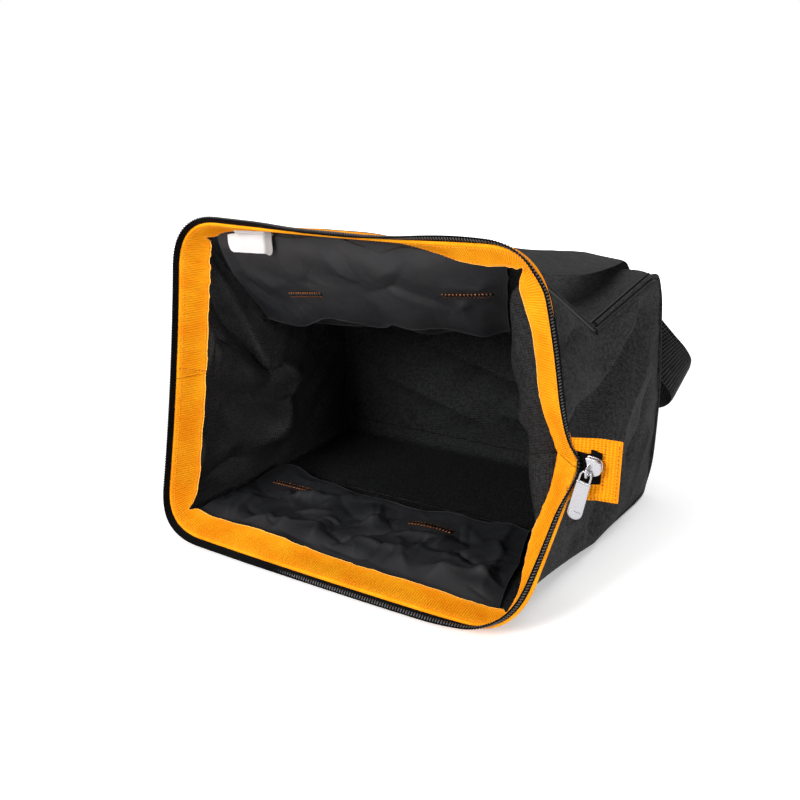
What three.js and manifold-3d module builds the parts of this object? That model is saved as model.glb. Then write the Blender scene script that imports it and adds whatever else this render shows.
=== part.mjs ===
// Soft tool bag lying on its long side with its framed mouth wide open.
// Millimetres, +Z up, +X along the bag's length, +Y from the mouth into the bag.
import * as THREE from 'three';
import { mergeVertices } from 'three/addons/utils/BufferGeometryUtils.js';
import Module from 'manifold-3d';

// Driving sizes
const CLOTH = 1.5;
const LINING = 1.0;
const LINING_HEM = 1.5;
const LABEL_THICK = 0.6;
const GAP = 0.35;
const TAPE_WIDTH = 25;
const TAPE_THICK = 1.4;
const LIP_SHARE = 0.16;
const WALL_START = 0.2;
const BASE_ROUND = 14;
const BASE_BELLY = 3;
const PIPING_R = 1.8;
const WEBBING_WIDTH = 38;
const WEBBING_THICK = 2.2;
const ANCHOR_LEVELS = [2.9, 2.66, 2.33];
const ANCHOR_CLEAR = { 0: 1, 2: 1.7 };
const ZIP_END_U = 1.426;
const ZIP_START_U = 3.5;
const ZIP_JOIN = 0.012;

// Cross-sections of the bag from the mouth's rim to its base: corner points and the bow of each side's middle
const SECTIONS = {
  rim: {
    radius: 40,
    corners: [[-325.5, -6, 7.5], [3, -21, 7.5], [-6, 12, 285], [-326.5, 45, 267.5]],
    bows: [[0, -2, 0], [25.5, 39, 0], [0, 4, -4], [4, 0, 0]],
  },
  flap: {
    radius: 26,
    corners: [[-322, 55, 8], [2, 48, 8], [-12, 62, 252], [-318, 84, 228]],
    bows: [[0, 0, 0], [6, 4, 0], [0, 0, -4], [0, 0, 0]],
  },
  seam: {
    radius: 8,
    corners: [[-312, 141, 3.4], [12, 141, 3.4], [-4, 141, 196], [-310, 134, 162]],
    bows: [[0, 0, 0], [8, 0, 0], [0, 0, -6], [0, 0, 0]],
  },
  base: {
    radius: 7,
    corners: [[-300, 255, 3.4], [22, 253, 3.4], [15, 255, 217], [-300, 255, 206]],
    bows: [[0, 0, 0], [5, 0, 0], [0, 0, -2], [-8, 0, 0]],
  },
};
const SIDE = { bottom: 0, right: 1, top: 2, left: 3 };
const OUTWARD = [[0, 0, -1], [1, 0, 0], [0, 0, 1], [-1, 0, 0]];
// The right edge's bow is two straights that meet in a rounded kink at the zip's end, below the middle
const RIGHT_KINK = { at: 0.447, rounding: 0.1, sag: 2 };

// Round the mouth: how far the orange tape turns inward, and the zip tape outward, as shares of 1
const RIM_TURN = [
  { u: 0.0, tape: 0.40, zip: 0.45 },
  { u: 0.1, tape: 0.20, zip: 0.65 },
  { u: 0.24, tape: 0.32, zip: 0.72 },
  { u: 0.32, tape: 0.29, zip: 0.74 },
  { u: 0.42, tape: 0.13, zip: 0.75 },
  { u: 0.5, tape: 0.07, zip: 0.75 },
  { u: 0.8, tape: 0.08, zip: 0.65 },
  { u: 0.88, tape: 0.00, zip: 0.48 },
  { u: 0.96, tape: 0.08, zip: 0.36 },
  { u: 1.03, tape: 0.30, zip: 0.22 },
  { u: 1.1, tape: 0.51, zip: 0.00 },
  { u: 1.2, tape: 0.58, zip: -0.22 },
  { u: 1.32, tape: 0.59, zip: -0.22 },
  { u: 1.426, tape: 0.76, zip: 0.58 },
  { u: 1.5, tape: 0.72, zip: 0.10 },
  { u: 1.6, tape: 0.80, zip: 0.00 },
  { u: 1.8, tape: 0.80, zip: 0.00 },
  { u: 1.9, tape: 0.89, zip: 0.10 },
  { u: 1.97, tape: 0.86, zip: 0.25 },
  { u: 2.04, tape: 0.66, zip: 0.50 },
  { u: 2.15, tape: 0.70, zip: 0.75 },
  { u: 2.21, tape: 0.62, zip: 0.80 },
  { u: 2.28, tape: 0.42, zip: 0.80 },
  { u: 2.36, tape: 0.24, zip: 0.80 },
  { u: 2.45, tape: 0.10, zip: 0.80 },
  { u: 2.62, tape: 0.10, zip: 0.80 },
  { u: 2.75, tape: 0.22, zip: 0.80 },
  { u: 2.9, tape: 0.38, zip: 0.65 },
  { u: 3.0, tape: 0.48, zip: 0.35 },
  { u: 3.1, tape: 0.50, zip: 0.15 },
  { u: 3.5, tape: 0.49, zip: 0.15 },
  { u: 3.9, tape: 0.48, zip: 0.18 },
  { u: 4.0, tape: 0.40, zip: 0.45 },
];
// The tape is pinched at the four corners of the mouth
const PINCHES = [
  { u: 0.0, depth: 8, reach: 0.06 },
  { u: 1.01, depth: 16, reach: 0.07 },
  { u: 2.02, depth: 11, reach: 0.06 },
  { u: 3.0, depth: 6, reach: 0.05 },
  { u: 4.0, depth: 8, reach: 0.06 },
];
// Levels along the wall: 0 rim, 1 tape edge, 2 flap, 3 seam, 4 base, 5 end of the base's rounding
const LEVEL_DEPTH = [0, 25, 65, 150, 265, 285];
// Folds pressed into the wall: a valley (or ridge, if height is positive) between two places on a side
const FOLDS = [
  { side: 'right', s0: 0.93, v0: 1.2, s1: 0.72, v1: 1.9, height: -9, width: 22 },
  { side: 'right', s0: 0.82, v0: 3.9, s1: 0.45, v1: 2.4, height: -7, width: 16 },
  { side: 'right', s0: 0.92, v0: 3.4, s1: 0.60, v1: 2.2, height: 4, width: 18 },
  { side: 'right', s0: 0.10, v0: 3.3, s1: 0.55, v1: 3.8, height: 4, width: 20 },
  { side: 'right', s0: 0.08, v0: 2.6, s1: 0.30, v1: 2.9, height: -5, width: 14 },
  { side: 'left', s0: 0.10, v0: 1.3, s1: 0.32, v1: 3.0, height: 12, width: 20 },
  { side: 'left', s0: 0.40, v0: 1.2, s1: 0.38, v1: 2.6, height: -9, width: 24 },
  { side: 'left', s0: 0.62, v0: 1.4, s1: 0.55, v1: 3.2, height: 7, width: 22 },
  { side: 'left', s0: 0.80, v0: 1.3, s1: 0.72, v1: 3.0, height: -6, width: 20 },
  { side: 'top', s0: 0.08, v0: 2.9, s1: 0.16, v1: 3.2, height: 12, width: 20 },
  { side: 'top', s0: 0.44, v0: 1.6, s1: 0.47, v1: 2.9, height: -5, width: 22 },
  { side: 'top', s0: 0.59, v0: 1.5, s1: 0.56, v1: 2.9, height: 4, width: 20 },
  { side: 'top', s0: 0.20, v0: 3.7, s1: 0.80, v1: 3.6, height: -4, width: 40 },
];

// Vectors and small helpers
const vec = (p) => new THREE.Vector3(p[0], p[1], p[2]);
const clamp01 = (t) => Math.min(1, Math.max(0, t));
const smooth = (t) => clamp01(t) ** 2 * (3 - 2 * clamp01(t));
const mix = (a, b, t) => a.clone().lerp(b, t);
const AXIS_Y = new THREE.Vector3(0, 1, 0);

function lookup(table, u, column) {
  const k = Math.max(1, table.findIndex((row) => row.u >= u));
  const low = table[k - 1];
  const high = table[k];
  return low[column] + (high[column] - low[column]) * (u - low.u) / (high.u - low.u);
}

// From 0 at both ends to 1 at the kink, straight below it and sagging just above it
function kink(s) {
  const { at, rounding, sag } = RIGHT_KINK;
  const away = s < at ? (at - s) / at : (s - at) / (1 - at);
  const drop = s > at ? sag * away * (1 - away) ** 4 : 0;
  return (Math.hypot(1, rounding) - Math.hypot(away, rounding)) / (Math.hypot(1, rounding) - rounding) - drop;
}

// A point on one straight side of a section, bowed in its middle
function sidePoint(section, side, s) {
  const from = vec(section.corners[side]);
  const to = vec(section.corners[(side + 1) % 4]);
  const bow = side === SIDE.right ? kink(s) : 4 * s * (1 - s);
  return mix(from, to, s).addScaledVector(vec(section.bows[side]), bow);
}

// A point on a section's closed loop, u from 0 to 4, with each corner rounded by a quadratic curve
function loopPoint(section, u) {
  const side = Math.floor(u) % 4;
  const s = u - Math.floor(u);
  const before = (side + 3) % 4;
  const after = (side + 1) % 4;
  const reach = (k) => section.radius / vec(section.corners[k]).distanceTo(vec(section.corners[(k + 1) % 4]));
  const share = reach(side) * 0.9;
  const bend = (p0, p1, p2, t) => mix(mix(p0, p1, t), mix(p1, p2, t), t);
  if (s < share) {
    const start = sidePoint(section, before, 1 - reach(before));
    return bend(start, vec(section.corners[side]), sidePoint(section, side, reach(side)), 0.5 + 0.5 * s / share);
  }
  if (s > 1 - share) {
    const end = sidePoint(section, after, reach(after));
    const t = 0.5 * (s - 1 + share) / share;
    return bend(sidePoint(section, side, 1 - reach(side)), vec(section.corners[after]), end, t);
  }
  const t = (s - share) / (1 - 2 * share);
  return sidePoint(section, side, reach(side) + t * (1 - 2 * reach(side)));
}

const wrap = (u) => ((u % 4) + 4) % 4;
const rimPoint = (u) => loopPoint(SECTIONS.rim, wrap(u));

function rimFrame(u) {
  const step = 0.004;
  const along = rimPoint(u + step).sub(rimPoint(u - step)).normalize();
  const inward = new THREE.Vector3(-along.z, 0, along.x).normalize();
  const tape = lookup(RIM_TURN, wrap(u), 'tape');
  const zip = lookup(RIM_TURN, wrap(u), 'zip');
  const tapeDir = inward.clone().multiplyScalar(tape).addScaledVector(AXIS_Y, Math.sqrt(1 - tape * tape));
  const zipDir = inward.clone().multiplyScalar(-zip).addScaledVector(AXIS_Y, -Math.sqrt(1 - zip * zip));
  return { along, tapeDir, zipDir };
}

function tapeWidth(u) {
  const pinch = PINCHES.reduce((sum, p) => sum + p.depth * Math.exp(-(((wrap(u) - p.u) / p.reach) ** 2)), 0);
  return TAPE_WIDTH - pinch;
}

function foldHeight(side, s, v) {
  const length = side % 2 === 0 ? 320 : 230;
  const depthAt = (level) => {
    const k = Math.min(4, Math.floor(level));
    return LEVEL_DEPTH[k] + (LEVEL_DEPTH[k + 1] - LEVEL_DEPTH[k]) * (level - k);
  };
  const here = new THREE.Vector2(s * length, depthAt(v));
  let height = 0;
  for (const fold of FOLDS.filter((f) => SIDE[f.side] === side)) {
    const start = new THREE.Vector2(fold.s0 * length, depthAt(fold.v0));
    const run = new THREE.Vector2(fold.s1 * length, depthAt(fold.v1)).sub(start);
    const t = clamp01(here.clone().sub(start).dot(run) / run.lengthSq());
    const away = here.distanceTo(start.addScaledVector(run, t));
    height += fold.height * Math.exp(-((away / fold.width) ** 2));
  }
  const edge = 0.1;
  return height * smooth(s / edge) * smooth((1 - s) / edge) * smooth((v - 1) / 0.4) * smooth(5 - v);
}

// The bag's outer surface: u round the section, v from the rim to the base
function wallPoint(uRaw, v) {
  const u = wrap(uRaw);
  const side = Math.floor(u);
  const s = u - side;
  const rim = rimPoint(u);
  const edge = rim.clone().addScaledVector(rimFrame(u).tapeDir, tapeWidth(u));
  const [flap, seam, base] = ['flap', 'seam', 'base'].map((name) => loopPoint(SECTIONS[name], u));
  let point;
  if (v <= 1) {
    point = mix(rim, edge, v);
  } else if (v <= 3) {
    point = edge.multiplyScalar((v - 2) * (v - 3) / 2)
      .addScaledVector(flap, -(v - 1) * (v - 3))
      .addScaledVector(seam, (v - 1) * (v - 2) / 2);
  } else if (v <= 4) {
    point = mix(seam, base, v - 3);
  } else {
    const turn = (v - 4) * Math.PI / 2;
    const lift = [1, 1 - 2 * s, -1, 2 * s - 1][side];
    point = base;
    point.y += BASE_ROUND * Math.sin(turn);
    point.z += BASE_ROUND * (1 - Math.cos(turn)) * lift;
  }
  return point.addScaledVector(vec(OUTWARD[side]), foldHeight(side, s, v));
}

// The wall's unit normal, pointing out of the bag
function wallNormal(u, v) {
  const du = 0.012;
  const dv = 0.06;
  const low = Math.max(0.05, Math.min(v - dv, 4.8));
  const high = Math.min(4.95, Math.max(v + dv, 0.2));
  const across = wallPoint(u + du, v).sub(wallPoint(u - du, v));
  const deep = wallPoint(u, high).sub(wallPoint(u, low));
  return deep.cross(across).normalize();
}

// A closed solid between two grids of points: outer[row][column] and inner[row][column]
function gridSolid(outer, inner) {
  const rows = outer.length;
  const columns = outer[0].length;
  const points = [...outer.flat(), ...inner.flat()];
  const at = (layer, r, c) => layer * rows * columns + r * columns + c;
  const faces = [];
  const quad = (a, b, c, d) => faces.push(a, b, c, a, c, d);
  for (let r = 0; r < rows - 1; r += 1) {
    for (let c = 0; c < columns - 1; c += 1) {
      quad(at(0, r, c + 1), at(0, r + 1, c + 1), at(0, r + 1, c), at(0, r, c));
      quad(at(1, r + 1, c), at(1, r + 1, c + 1), at(1, r, c + 1), at(1, r, c));
    }
  }
  for (let c = 0; c < columns - 1; c += 1) {
    quad(at(0, 0, c + 1), at(0, 0, c), at(1, 0, c), at(1, 0, c + 1));
    quad(at(0, rows - 1, c), at(0, rows - 1, c + 1), at(1, rows - 1, c + 1), at(1, rows - 1, c));
  }
  for (let r = 0; r < rows - 1; r += 1) {
    quad(at(0, r, 0), at(0, r + 1, 0), at(1, r + 1, 0), at(1, r, 0));
    quad(at(0, r + 1, columns - 1), at(0, r, columns - 1), at(1, r, columns - 1), at(1, r + 1, columns - 1));
  }
  return solidFrom(points, faces);
}

// A closed solid swept through rings of points, one ring a station, with both ends capped
function sweepSolid(rings, profile) {
  const count = profile.length;
  const flat = profile.map(([a, b]) => new THREE.Vector2(a, b));
  const clockwise = THREE.ShapeUtils.isClockWise(flat);
  const stations = clockwise ? rings.map((ring) => ring.toReversed()) : rings;
  const faces = [];
  for (let k = 0; k < stations.length - 1; k += 1) {
    for (let i = 0; i < count; i += 1) {
      const j = (i + 1) % count;
      faces.push(k * count + i, k * count + j, (k + 1) * count + j);
      faces.push(k * count + i, (k + 1) * count + j, (k + 1) * count + i);
    }
  }
  const last = (stations.length - 1) * count;
  for (const [a, b, c] of THREE.ShapeUtils.triangulateShape(clockwise ? flat.toReversed() : flat, [])) {
    faces.push(a, c, b);
    faces.push(last + a, last + b, last + c);
  }
  return solidFrom(stations.flat(), faces);
}

// Points and triangles as a geometry whose faces point out
function solidFrom(points, faces) {
  let volume = 0;
  for (let k = 0; k < faces.length; k += 3) {
    const [a, b, c] = [points[faces[k]], points[faces[k + 1]], points[faces[k + 2]]];
    volume += a.dot(b.clone().cross(c));
  }
  const index = volume > 0 ? faces : faces.map((_, k) => faces[k - (k % 3) + (2 - (k % 3))]);
  const geometry = new THREE.BufferGeometry();
  geometry.setAttribute('position', new THREE.Float32BufferAttribute(points.flatMap((p) => [p.x, p.y, p.z]), 3));
  geometry.setIndex(index);
  return geometry;
}

const range = (from, to, count) => Array.from({ length: count + 1 }, (_, k) => from + (to - from) * k / count);

// Moves the first and last rows and columns of a grid inward, so that neighbours keep a gap
function trim(grid, gap) {
  const last = grid.length - 1;
  const end = grid[0].length - 1;
  const pull = (point, toward) => point.add(toward.clone().sub(point).setLength(gap));
  grid.forEach((row) => {
    pull(row[0], row[1]);
    pull(row[end], row[end - 1]);
  });
  for (let c = 0; c <= end; c += 1) {
    pull(grid[0][c], grid[1][c]);
    pull(grid[last][c], grid[last - 1][c]);
  }
  return grid;
}

// Cloth over columns of the wall and levels along it: the wall's surface moved in by two offsets
function clothSolid(us, vs, outerOffset, innerOffset, gap = GAP / 2) {
  const layer = (offset) => vs.map((v) => us.map((u) => wallPoint(u, v).addScaledVector(wallNormal(u, v), offset)));
  return gridSolid(trim(layer(outerOffset), gap), trim(layer(innerOffset), gap));
}

const SIDE_SHARES = [0, 0.02, 0.05, 0.085, 0.13, 0.22, 0.32, 0.42, 0.432, 0.5, 0.58, 0.68, 0.78,
  0.87, 0.915, 0.95, 0.98, 1];
const FLAP_LEVELS = [WALL_START, 0.6, 1, 1.35, 1.7, 2, 2.33, 2.66, 3];
const BOX_LEVELS = [3, 3.25, 3.5, 3.75, 4, 4.33, 4.66, 5];

const NEAR_ONE = 0.99999;

const columns = (side, from, to) => SIDE_SHARES.filter((s) => s >= from && s <= to)
  .map((s) => side + Math.min(s, NEAR_ONE));

const wallPanel = (side, levels) => clothSolid(columns(side, 0, 1), levels, 0, -CLOTH);

// Linings lie inside the flaps, stop short of the right corner and end above the seam
function flapLining(side, from, to) {
  const levels = FLAP_LEVELS.filter((v) => v >= 1);
  const offset = -(CLOTH + 2 * GAP);
  return clothSolid(columns(side, from, to), levels, offset, offset - LINING, LINING_HEM);
}

// The base closes the box between the upper and lower panels and the ends
function basePanel() {
  const shares = [0, 0.02, 0.13, 0.22, 0.32, 0.42, 0.5, 0.58, 0.68, 0.78, 0.87, 0.98, 1];
  const heights = range(0, 1, 6);
  const tuck = CLOTH + 2 * GAP;
  const endEdge = (side, share) => wallPoint(side + clamp01(share) * NEAR_ONE, 5)
    .addScaledVector(vec(OUTWARD[side]), -tuck);
  const edgePoint = (s, t) => {
    if (s === 0) return endEdge(SIDE.left, 1 - t);
    if (s === 1) return endEdge(SIDE.right, t);
    return mix(wallPoint(SIDE.bottom + s, 5), wallPoint(SIDE.top + 1 - s, 5), t);
  };
  const layer = (offset) => heights.map((t) => shares.map((s) => {
    const point = edgePoint(s, t);
    point.y += BASE_BELLY * Math.sin(Math.PI * t) * Math.sin(Math.PI * s) + offset;
    return point;
  }));
  return gridSolid(trim(layer(0), GAP), trim(layer(-CLOTH), GAP));
}

// The wall's columns along a stretch of the rim, with the stretch's two ends
function rimStations(from, to) {
  const all = [-1, 0, 1, 2, 3].flatMap((side) => SIDE_SHARES.slice(0, -1).map((share) => side + share));
  const clear = 0.01;
  return [from, ...all.filter((u) => u > from + clear && u < to - clear), to];
}

// The orange tape folds over the mouth's edge: a narrow lip outside and a wide face inside
function mouthTape(from, to) {
  const inside = -(CLOTH + GAP);
  const under = inside - TAPE_THICK;
  const lip = 0.3;
  const profile = [[0, under], [0.6, under], [1, under], [1, inside], [0.6, inside], [WALL_START, inside],
    [LIP_SHARE, inside], [LIP_SHARE, lip], [0, lip]];
  const stations = rimStations(from + ZIP_JOIN / 2, to - ZIP_JOIN / 2).map((u) => profile.map(([v, n]) => {
    const normal = wallNormal(u, Math.max(v, WALL_START));
    return wallPoint(u, v).addScaledVector(normal, n);
  }));
  return sweepSolid(stations, profile);
}

// One half of the zip: its tape from the rim, and the coil's bead along the free edge
function zipChain(from, to) {
  const profile = [[1.5, 0.6], [1.5, -0.6], [4.6, -0.6], [5.4, -1.9], [7.2, -1.9],
    [8, 0], [7.2, 1.9], [5.4, 1.9], [4.6, 0.6]];
  const stations = rimStations(from + ZIP_JOIN, to - ZIP_JOIN).map((u) => {
    const { along, zipDir } = rimFrame(u);
    const normal = along.clone().cross(zipDir).normalize();
    const sewn = rimPoint(u).addScaledVector(wallNormal(u, WALL_START), -CLOTH);
    return profile.map(([a, b]) => sewn.clone().addScaledVector(zipDir, a).addScaledVector(normal, b));
  });
  return sweepSolid(stations, profile);
}

// Webbing: a flat band through stations, each a middle point and the direction of its width
function webbing(stations, steps) {
  const middle = new THREE.CatmullRomCurve3(stations.map((row) => row.at), false, 'centripetal');
  const widthAt = (t) => {
    const place = t * (stations.length - 1);
    const k = Math.min(stations.length - 2, Math.floor(place));
    return mix(stations[k].across, stations[k + 1].across, place - k);
  };
  const profile = [[-1, -1], [1, -1], [1, 1], [-1, 1]];
  const rings = range(0, 1, steps).map((t) => {
    const forward = middle.getTangent(t);
    const across = widthAt(t).normalize();
    const normal = forward.clone().cross(across).normalize();
    return profile.map(([a, b]) => middle.getPoint(t)
      .addScaledVector(across, a * WEBBING_WIDTH / 2)
      .addScaledVector(normal, b * WEBBING_THICK / 2));
  });
  return sweepSolid(rings, profile);
}

// A sewn end of a handle, flat on the outside of a flap, from the seam's side to the rim's
function anchor(side, share, turn) {
  const clear = ANCHOR_CLEAR[side] + WEBBING_THICK / 2;
  const half = WEBBING_WIDTH / 2 / 320;
  return ANCHOR_LEVELS.map((v) => {
    const edge = (way) => wallPoint(side + share + way * half, v);
    const across = edge(1).sub(edge(-1)).normalize();
    const at = mix(edge(1), edge(-1), 0.5).addScaledVector(wallNormal(side + share, v), clear);
    return { at, across: across.multiplyScalar(turn * Math.sign(across.x)) };
  });
}

// The upper handle folds back over the upper panel, drops behind the base, swings out to the right and comes back
const UPPER_ROUTE = [
  { at: [-93, 68, 255], across: [1.0, 0.0, 0.0] },
  { at: [-92, 61, 262], across: [0.99, -0.08, -0.1] },
  { at: [-88, 66, 266], across: [0.97, -0.15, -0.15] },
  { at: [-76, 86, 259], across: [0.92, -0.22, -0.28] },
  { at: [-54, 130, 244], across: [0.88, -0.24, -0.42] },
  { at: [-40, 185, 233], across: [0.90, -0.2, -0.38] },
  { at: [-34, 235, 226], across: [0.96, -0.14, -0.2] },
  { at: [-34, 262, 221], across: [0.99, -0.05, -0.05] },
  { at: [-34, 279, 208], across: [0.99, 0.0, 0.1] },
  { at: [-32, 286, 194], across: [0.95, 0.0, 0.3] },
  { at: [-22, 288, 176], across: [0.82, 0.0, 0.57] },
  { at: [-4, 289, 157], across: [0.74, 0.0, 0.67] },
  { at: [16, 291, 136], across: [0.70, 0.0, 0.71] },
  { at: [29, 295, 121], across: [0.55, 0.05, 0.84] },
  { at: [36, 301, 107], across: [0.38, 0.1, 0.92] },
  { at: [30, 313, 93], across: [0.30, 0.1, 0.95] },
  { at: [8, 319, 84], across: [0.1, 0.1, 0.99] },
  { at: [-60, 308, 92], across: [-0.3, 0.1, 0.95] },
  { at: [-120, 296, 150], across: [-0.75, 0.0, 0.66] },
  { at: [-160, 288, 205], across: [-0.95, 0.0, 0.3] },
  { at: [-176, 270, 223], across: [-1.0, -0.2, 0.0] },
  { at: [-196, 215, 215], across: [-1.0, -0.2, 0.0] },
  { at: [-226, 160, 206], across: [-1.0, -0.1, 0.0] },
  { at: [-236, 108, 224], across: [-1.0, 0.0, 0.0] },
  { at: [-238, 76, 251], across: [-1.0, 0.0, 0.0] },
  { at: [-238, 66, 261], across: [-1.0, 0.0, 0.0] },
];

// The lower handle runs flat under the bag, turns on edge behind the base and closes in a half circle
function lowerRoute(xRight, xLeft) {
  const flat = WEBBING_THICK / 2;
  const tall = WEBBING_WIDTH / 2;
  const twist = { from: 285, to: 375, steps: 8, rise: 0.15 };
  const loopY = 400;
  const radius = (xRight - xLeft) / 2;
  const under = [165, 185, 215, 245, 270, 280].map((y) => ({
    at: [xRight, y, y > 250 ? flat + twist.rise : flat],
    across: [1, 0, 0],
  }));
  const turning = range(0, 1, twist.steps).map((t) => {
    const a = smooth(t) * Math.PI / 2;
    const lift = 0.5 * Math.sqrt(Math.sin(Math.PI * t));
    const z = tall * Math.sin(a) + flat * Math.cos(a) + lift + twist.rise;
    return { at: [xRight, twist.from + (twist.to - twist.from) * t, z], across: [Math.cos(a), 0, Math.sin(a)] };
  });
  const out = [...under, ...turning];
  const arc = range(0, Math.PI, 8).map((a) => ({
    at: [xLeft + radius + radius * Math.cos(a), loopY + radius * Math.sin(a), tall + twist.rise],
    across: [0, 0, 1],
  }));
  const back = out.map((row) => ({
    at: [xLeft, row.at[1], row.at[2]],
    across: [-row.across[0], 0, row.across[2]],
  })).reverse();
  return [...out, ...arc, ...back];
}

const asStations = (route) => route.map((row) => ({ at: vec(row.at), across: vec(row.across) }));

// Beside the base the piping stands mostly behind it
const EDGE_LEAN = 0.35;

// Piping runs round an end panel: along its upper corner, down the base's edge and back along its lower corner
function piping(upperU, lowerU, side) {
  const outset = PIPING_R + 2 * GAP;
  const onCorner = (u) => (v) => wallPoint(u, v).addScaledVector(wallNormal(u, v), outset);
  const toward = new THREE.Vector3(OUTWARD[side][0] * EDGE_LEAN, 1, 0).setLength(outset);
  const onEdge = (s) => wallPoint(side + s, 5).add(toward);
  const shares = side === SIDE.right ? [0.97, 0.75, 0.5, 0.25, 0.03] : [0.03, 0.25, 0.5, 0.75, 0.97];
  const points = [
    ...[3.05, 3.35, 3.7, 4, 4.35, 4.7].map(onCorner(upperU)),
    ...shares.map(onEdge),
    ...[4.7, 4.35, 4, 3.7, 3.35, 3.05].map(onCorner(lowerU)),
  ];
  const path = new THREE.CatmullRomCurve3(points, false, 'centripetal');
  const ring = new THREE.Shape(range(0, 2 * Math.PI, 8).slice(0, 8)
    .map((a) => new THREE.Vector2(PIPING_R * Math.cos(a), PIPING_R * Math.sin(a))));
  return new THREE.ExtrudeGeometry(ring, { steps: 48, extrudePath: path, bevelEnabled: false });
}

// An outline of [x, z] points as a plate that is thick along Y
function plate(outline, thickness, holes = []) {
  const toShape = (points, Kind) => new Kind(points.map(([x, z]) => new THREE.Vector2(x, z)));
  const shape = toShape(outline, THREE.Shape);
  shape.holes = holes.map((hole) => toShape(hole, THREE.Path));
  const geometry = new THREE.ExtrudeGeometry(shape, { depth: thickness, bevelEnabled: false });
  return geometry.rotateX(Math.PI / 2);
}

// A rectangle with round corners, as [x, z] points
function roundRect(x0, z0, x1, z1, radius) {
  const corners = [[x1 - radius, z1 - radius, 0], [x0 + radius, z1 - radius, 1],
    [x0 + radius, z0 + radius, 2], [x1 - radius, z0 + radius, 3]];
  return corners.flatMap(([x, z, quarter]) => range(quarter, quarter + 1, 3).map((q) => [
    x + radius * Math.cos(q * Math.PI / 2), z + radius * Math.sin(q * Math.PI / 2)]));
}

const SLIDER = { x: 38, front: 22, z: 132, long: 12, tall: 17, thick: 6 };
const CROWN = { x: 35, z: 129, wide: 2.6, post: 2.4, reach: 3.4, front: 16.5, bar: 1.8 };
const ZIP_END = { x0: 30.6, x1: 42, z0: 121, z1: 138, y: 28.35, thick: 1.3 };
const TAB = { x0: 26, x1: 55.8, z0: 103, z1: 151, y: 30, thick: 2.4, windowX: 41, windowZ0: 118, windowZ1: 141 };
const PULLER = { width: 11, long: 39, thick: 1.6, y: 19.9, wire: 0.8, eye: 6.6, eyeHalf: 2.7, lean: 0.2 };

const wasm = await Module();
wasm.setup();

function toManifold(geometry) {
  const plain = geometry.clone();
  plain.deleteAttribute('normal');
  plain.deleteAttribute('uv');
  const merged = mergeVertices(plain, 1e-4);
  return new wasm.Manifold(new wasm.Mesh({
    numProp: 3,
    vertProperties: Float32Array.from(merged.attributes.position.array),
    triVerts: Uint32Array.from(merged.index.array),
  }));
}

function fromManifold(solid) {
  const { vertProperties, triVerts } = solid.getMesh();
  const geometry = new THREE.BufferGeometry();
  geometry.setAttribute('position', new THREE.BufferAttribute(Float32Array.from(vertProperties), 3));
  geometry.setIndex(new THREE.BufferAttribute(Uint32Array.from(triVerts), 1));
  return geometry;
}

// The slider: a waisted body, and a crown arched over the puller's wire
function zipSlider() {
  const { x, front, z, long, tall, thick } = SLIDER;
  const half = long / 2;
  const body = plate([[x - half, z - tall / 2], [x + half * 0.4, z - tall * 0.42], [x + half, z - tall * 0.25],
    [x + half, z + tall * 0.25], [x + half * 0.4, z + tall * 0.42], [x - half, z + tall / 2],
    [x - half * 0.7, z + 1.5], [x - half * 0.7, z - 1.5]], thick).translate(0, front + thick, 0);
  const deep = front + 1 - CROWN.front;
  const post = (way) => new THREE.BoxGeometry(CROWN.wide, deep, CROWN.post)
    .translate(CROWN.x, CROWN.front + deep / 2, CROWN.z + way * CROWN.reach);
  const bar = new THREE.BoxGeometry(CROWN.wide, CROWN.bar, 2 * CROWN.reach + CROWN.post)
    .translate(CROWN.x, CROWN.front + CROWN.bar / 2, CROWN.z);
  const parts = [post(-1), post(1), bar].map(toManifold);
  return fromManifold(parts.reduce((sum, part) => sum.add(part), toManifold(body)));
}

// The puller: one plate whose top wire lies under the crown, hanging with a slight lean
function zipPuller() {
  const { width, long, thick, y, wire, eye, eyeHalf, lean } = PULLER;
  const outline = roundRect(-width / 2, -long, width / 2, wire, 0.7);
  const hole = roundRect(-eyeHalf, -eye, eyeHalf, -wire, 0.6).reverse();
  return plate(outline, thick, [hole])
    .translate(0, thick / 2, 0)
    .rotateY(lean)
    .translate(CROWN.x, y, CROWN.z);
}

// The orange tab at the zip's end: folded tape with a window round the slider, open towards the mouth
function zipEndTab() {
  const { x0, x1, z0, z1, y, thick, windowX, windowZ0, windowZ1 } = TAB;
  const outline = [[x0, z0], [x1, z0 + 2], [x1, z1 + 1], [x0, z1], [x0, windowZ1], [windowX, windowZ1],
    [windowX, windowZ0], [x0, windowZ0]];
  return plate(outline, thick).translate(0, y + thick, 0);
}

// The closed end of the zip, between the mouth's edge and the tab, with the slider before it
function zipEnd() {
  const { x0, x1, z0, z1, y, thick } = ZIP_END;
  return plate([[x0, z0], [x1, z0], [x1, z1], [x0, z1]], thick).translate(0, y + thick, 0);
}

// The sewn label: a small bare flag under the tape, on the upper lining
function label() {
  const offset = -(CLOTH + LINING + 3 * GAP);
  const levels = FLAP_LEVELS.filter((v) => v >= 1 && v <= 1.7);
  return clothSolid(columns(SIDE.top, 0.78, 0.92), levels, offset, offset - LABEL_THICK, LINING_HEM);
}

const COLOURS = {
  nylon: { color: 0x232325, roughness: 0.45, metalness: 0 },
  polyester: { color: 0x242426, roughness: 0.8, metalness: 0 },
  orange: { color: 0xffa014, roughness: 0.7, metalness: 0 },
  webbing: { color: 0x202022, roughness: 0.75, metalness: 0 },
  zip: { color: 0x18181a, roughness: 0.5, metalness: 0 },
  metal: { color: 0xc8c8c8, roughness: 0.3, metalness: 1 },
  label: { color: 0xf4f4f4, roughness: 0.6, metalness: 0 },
};

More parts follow.
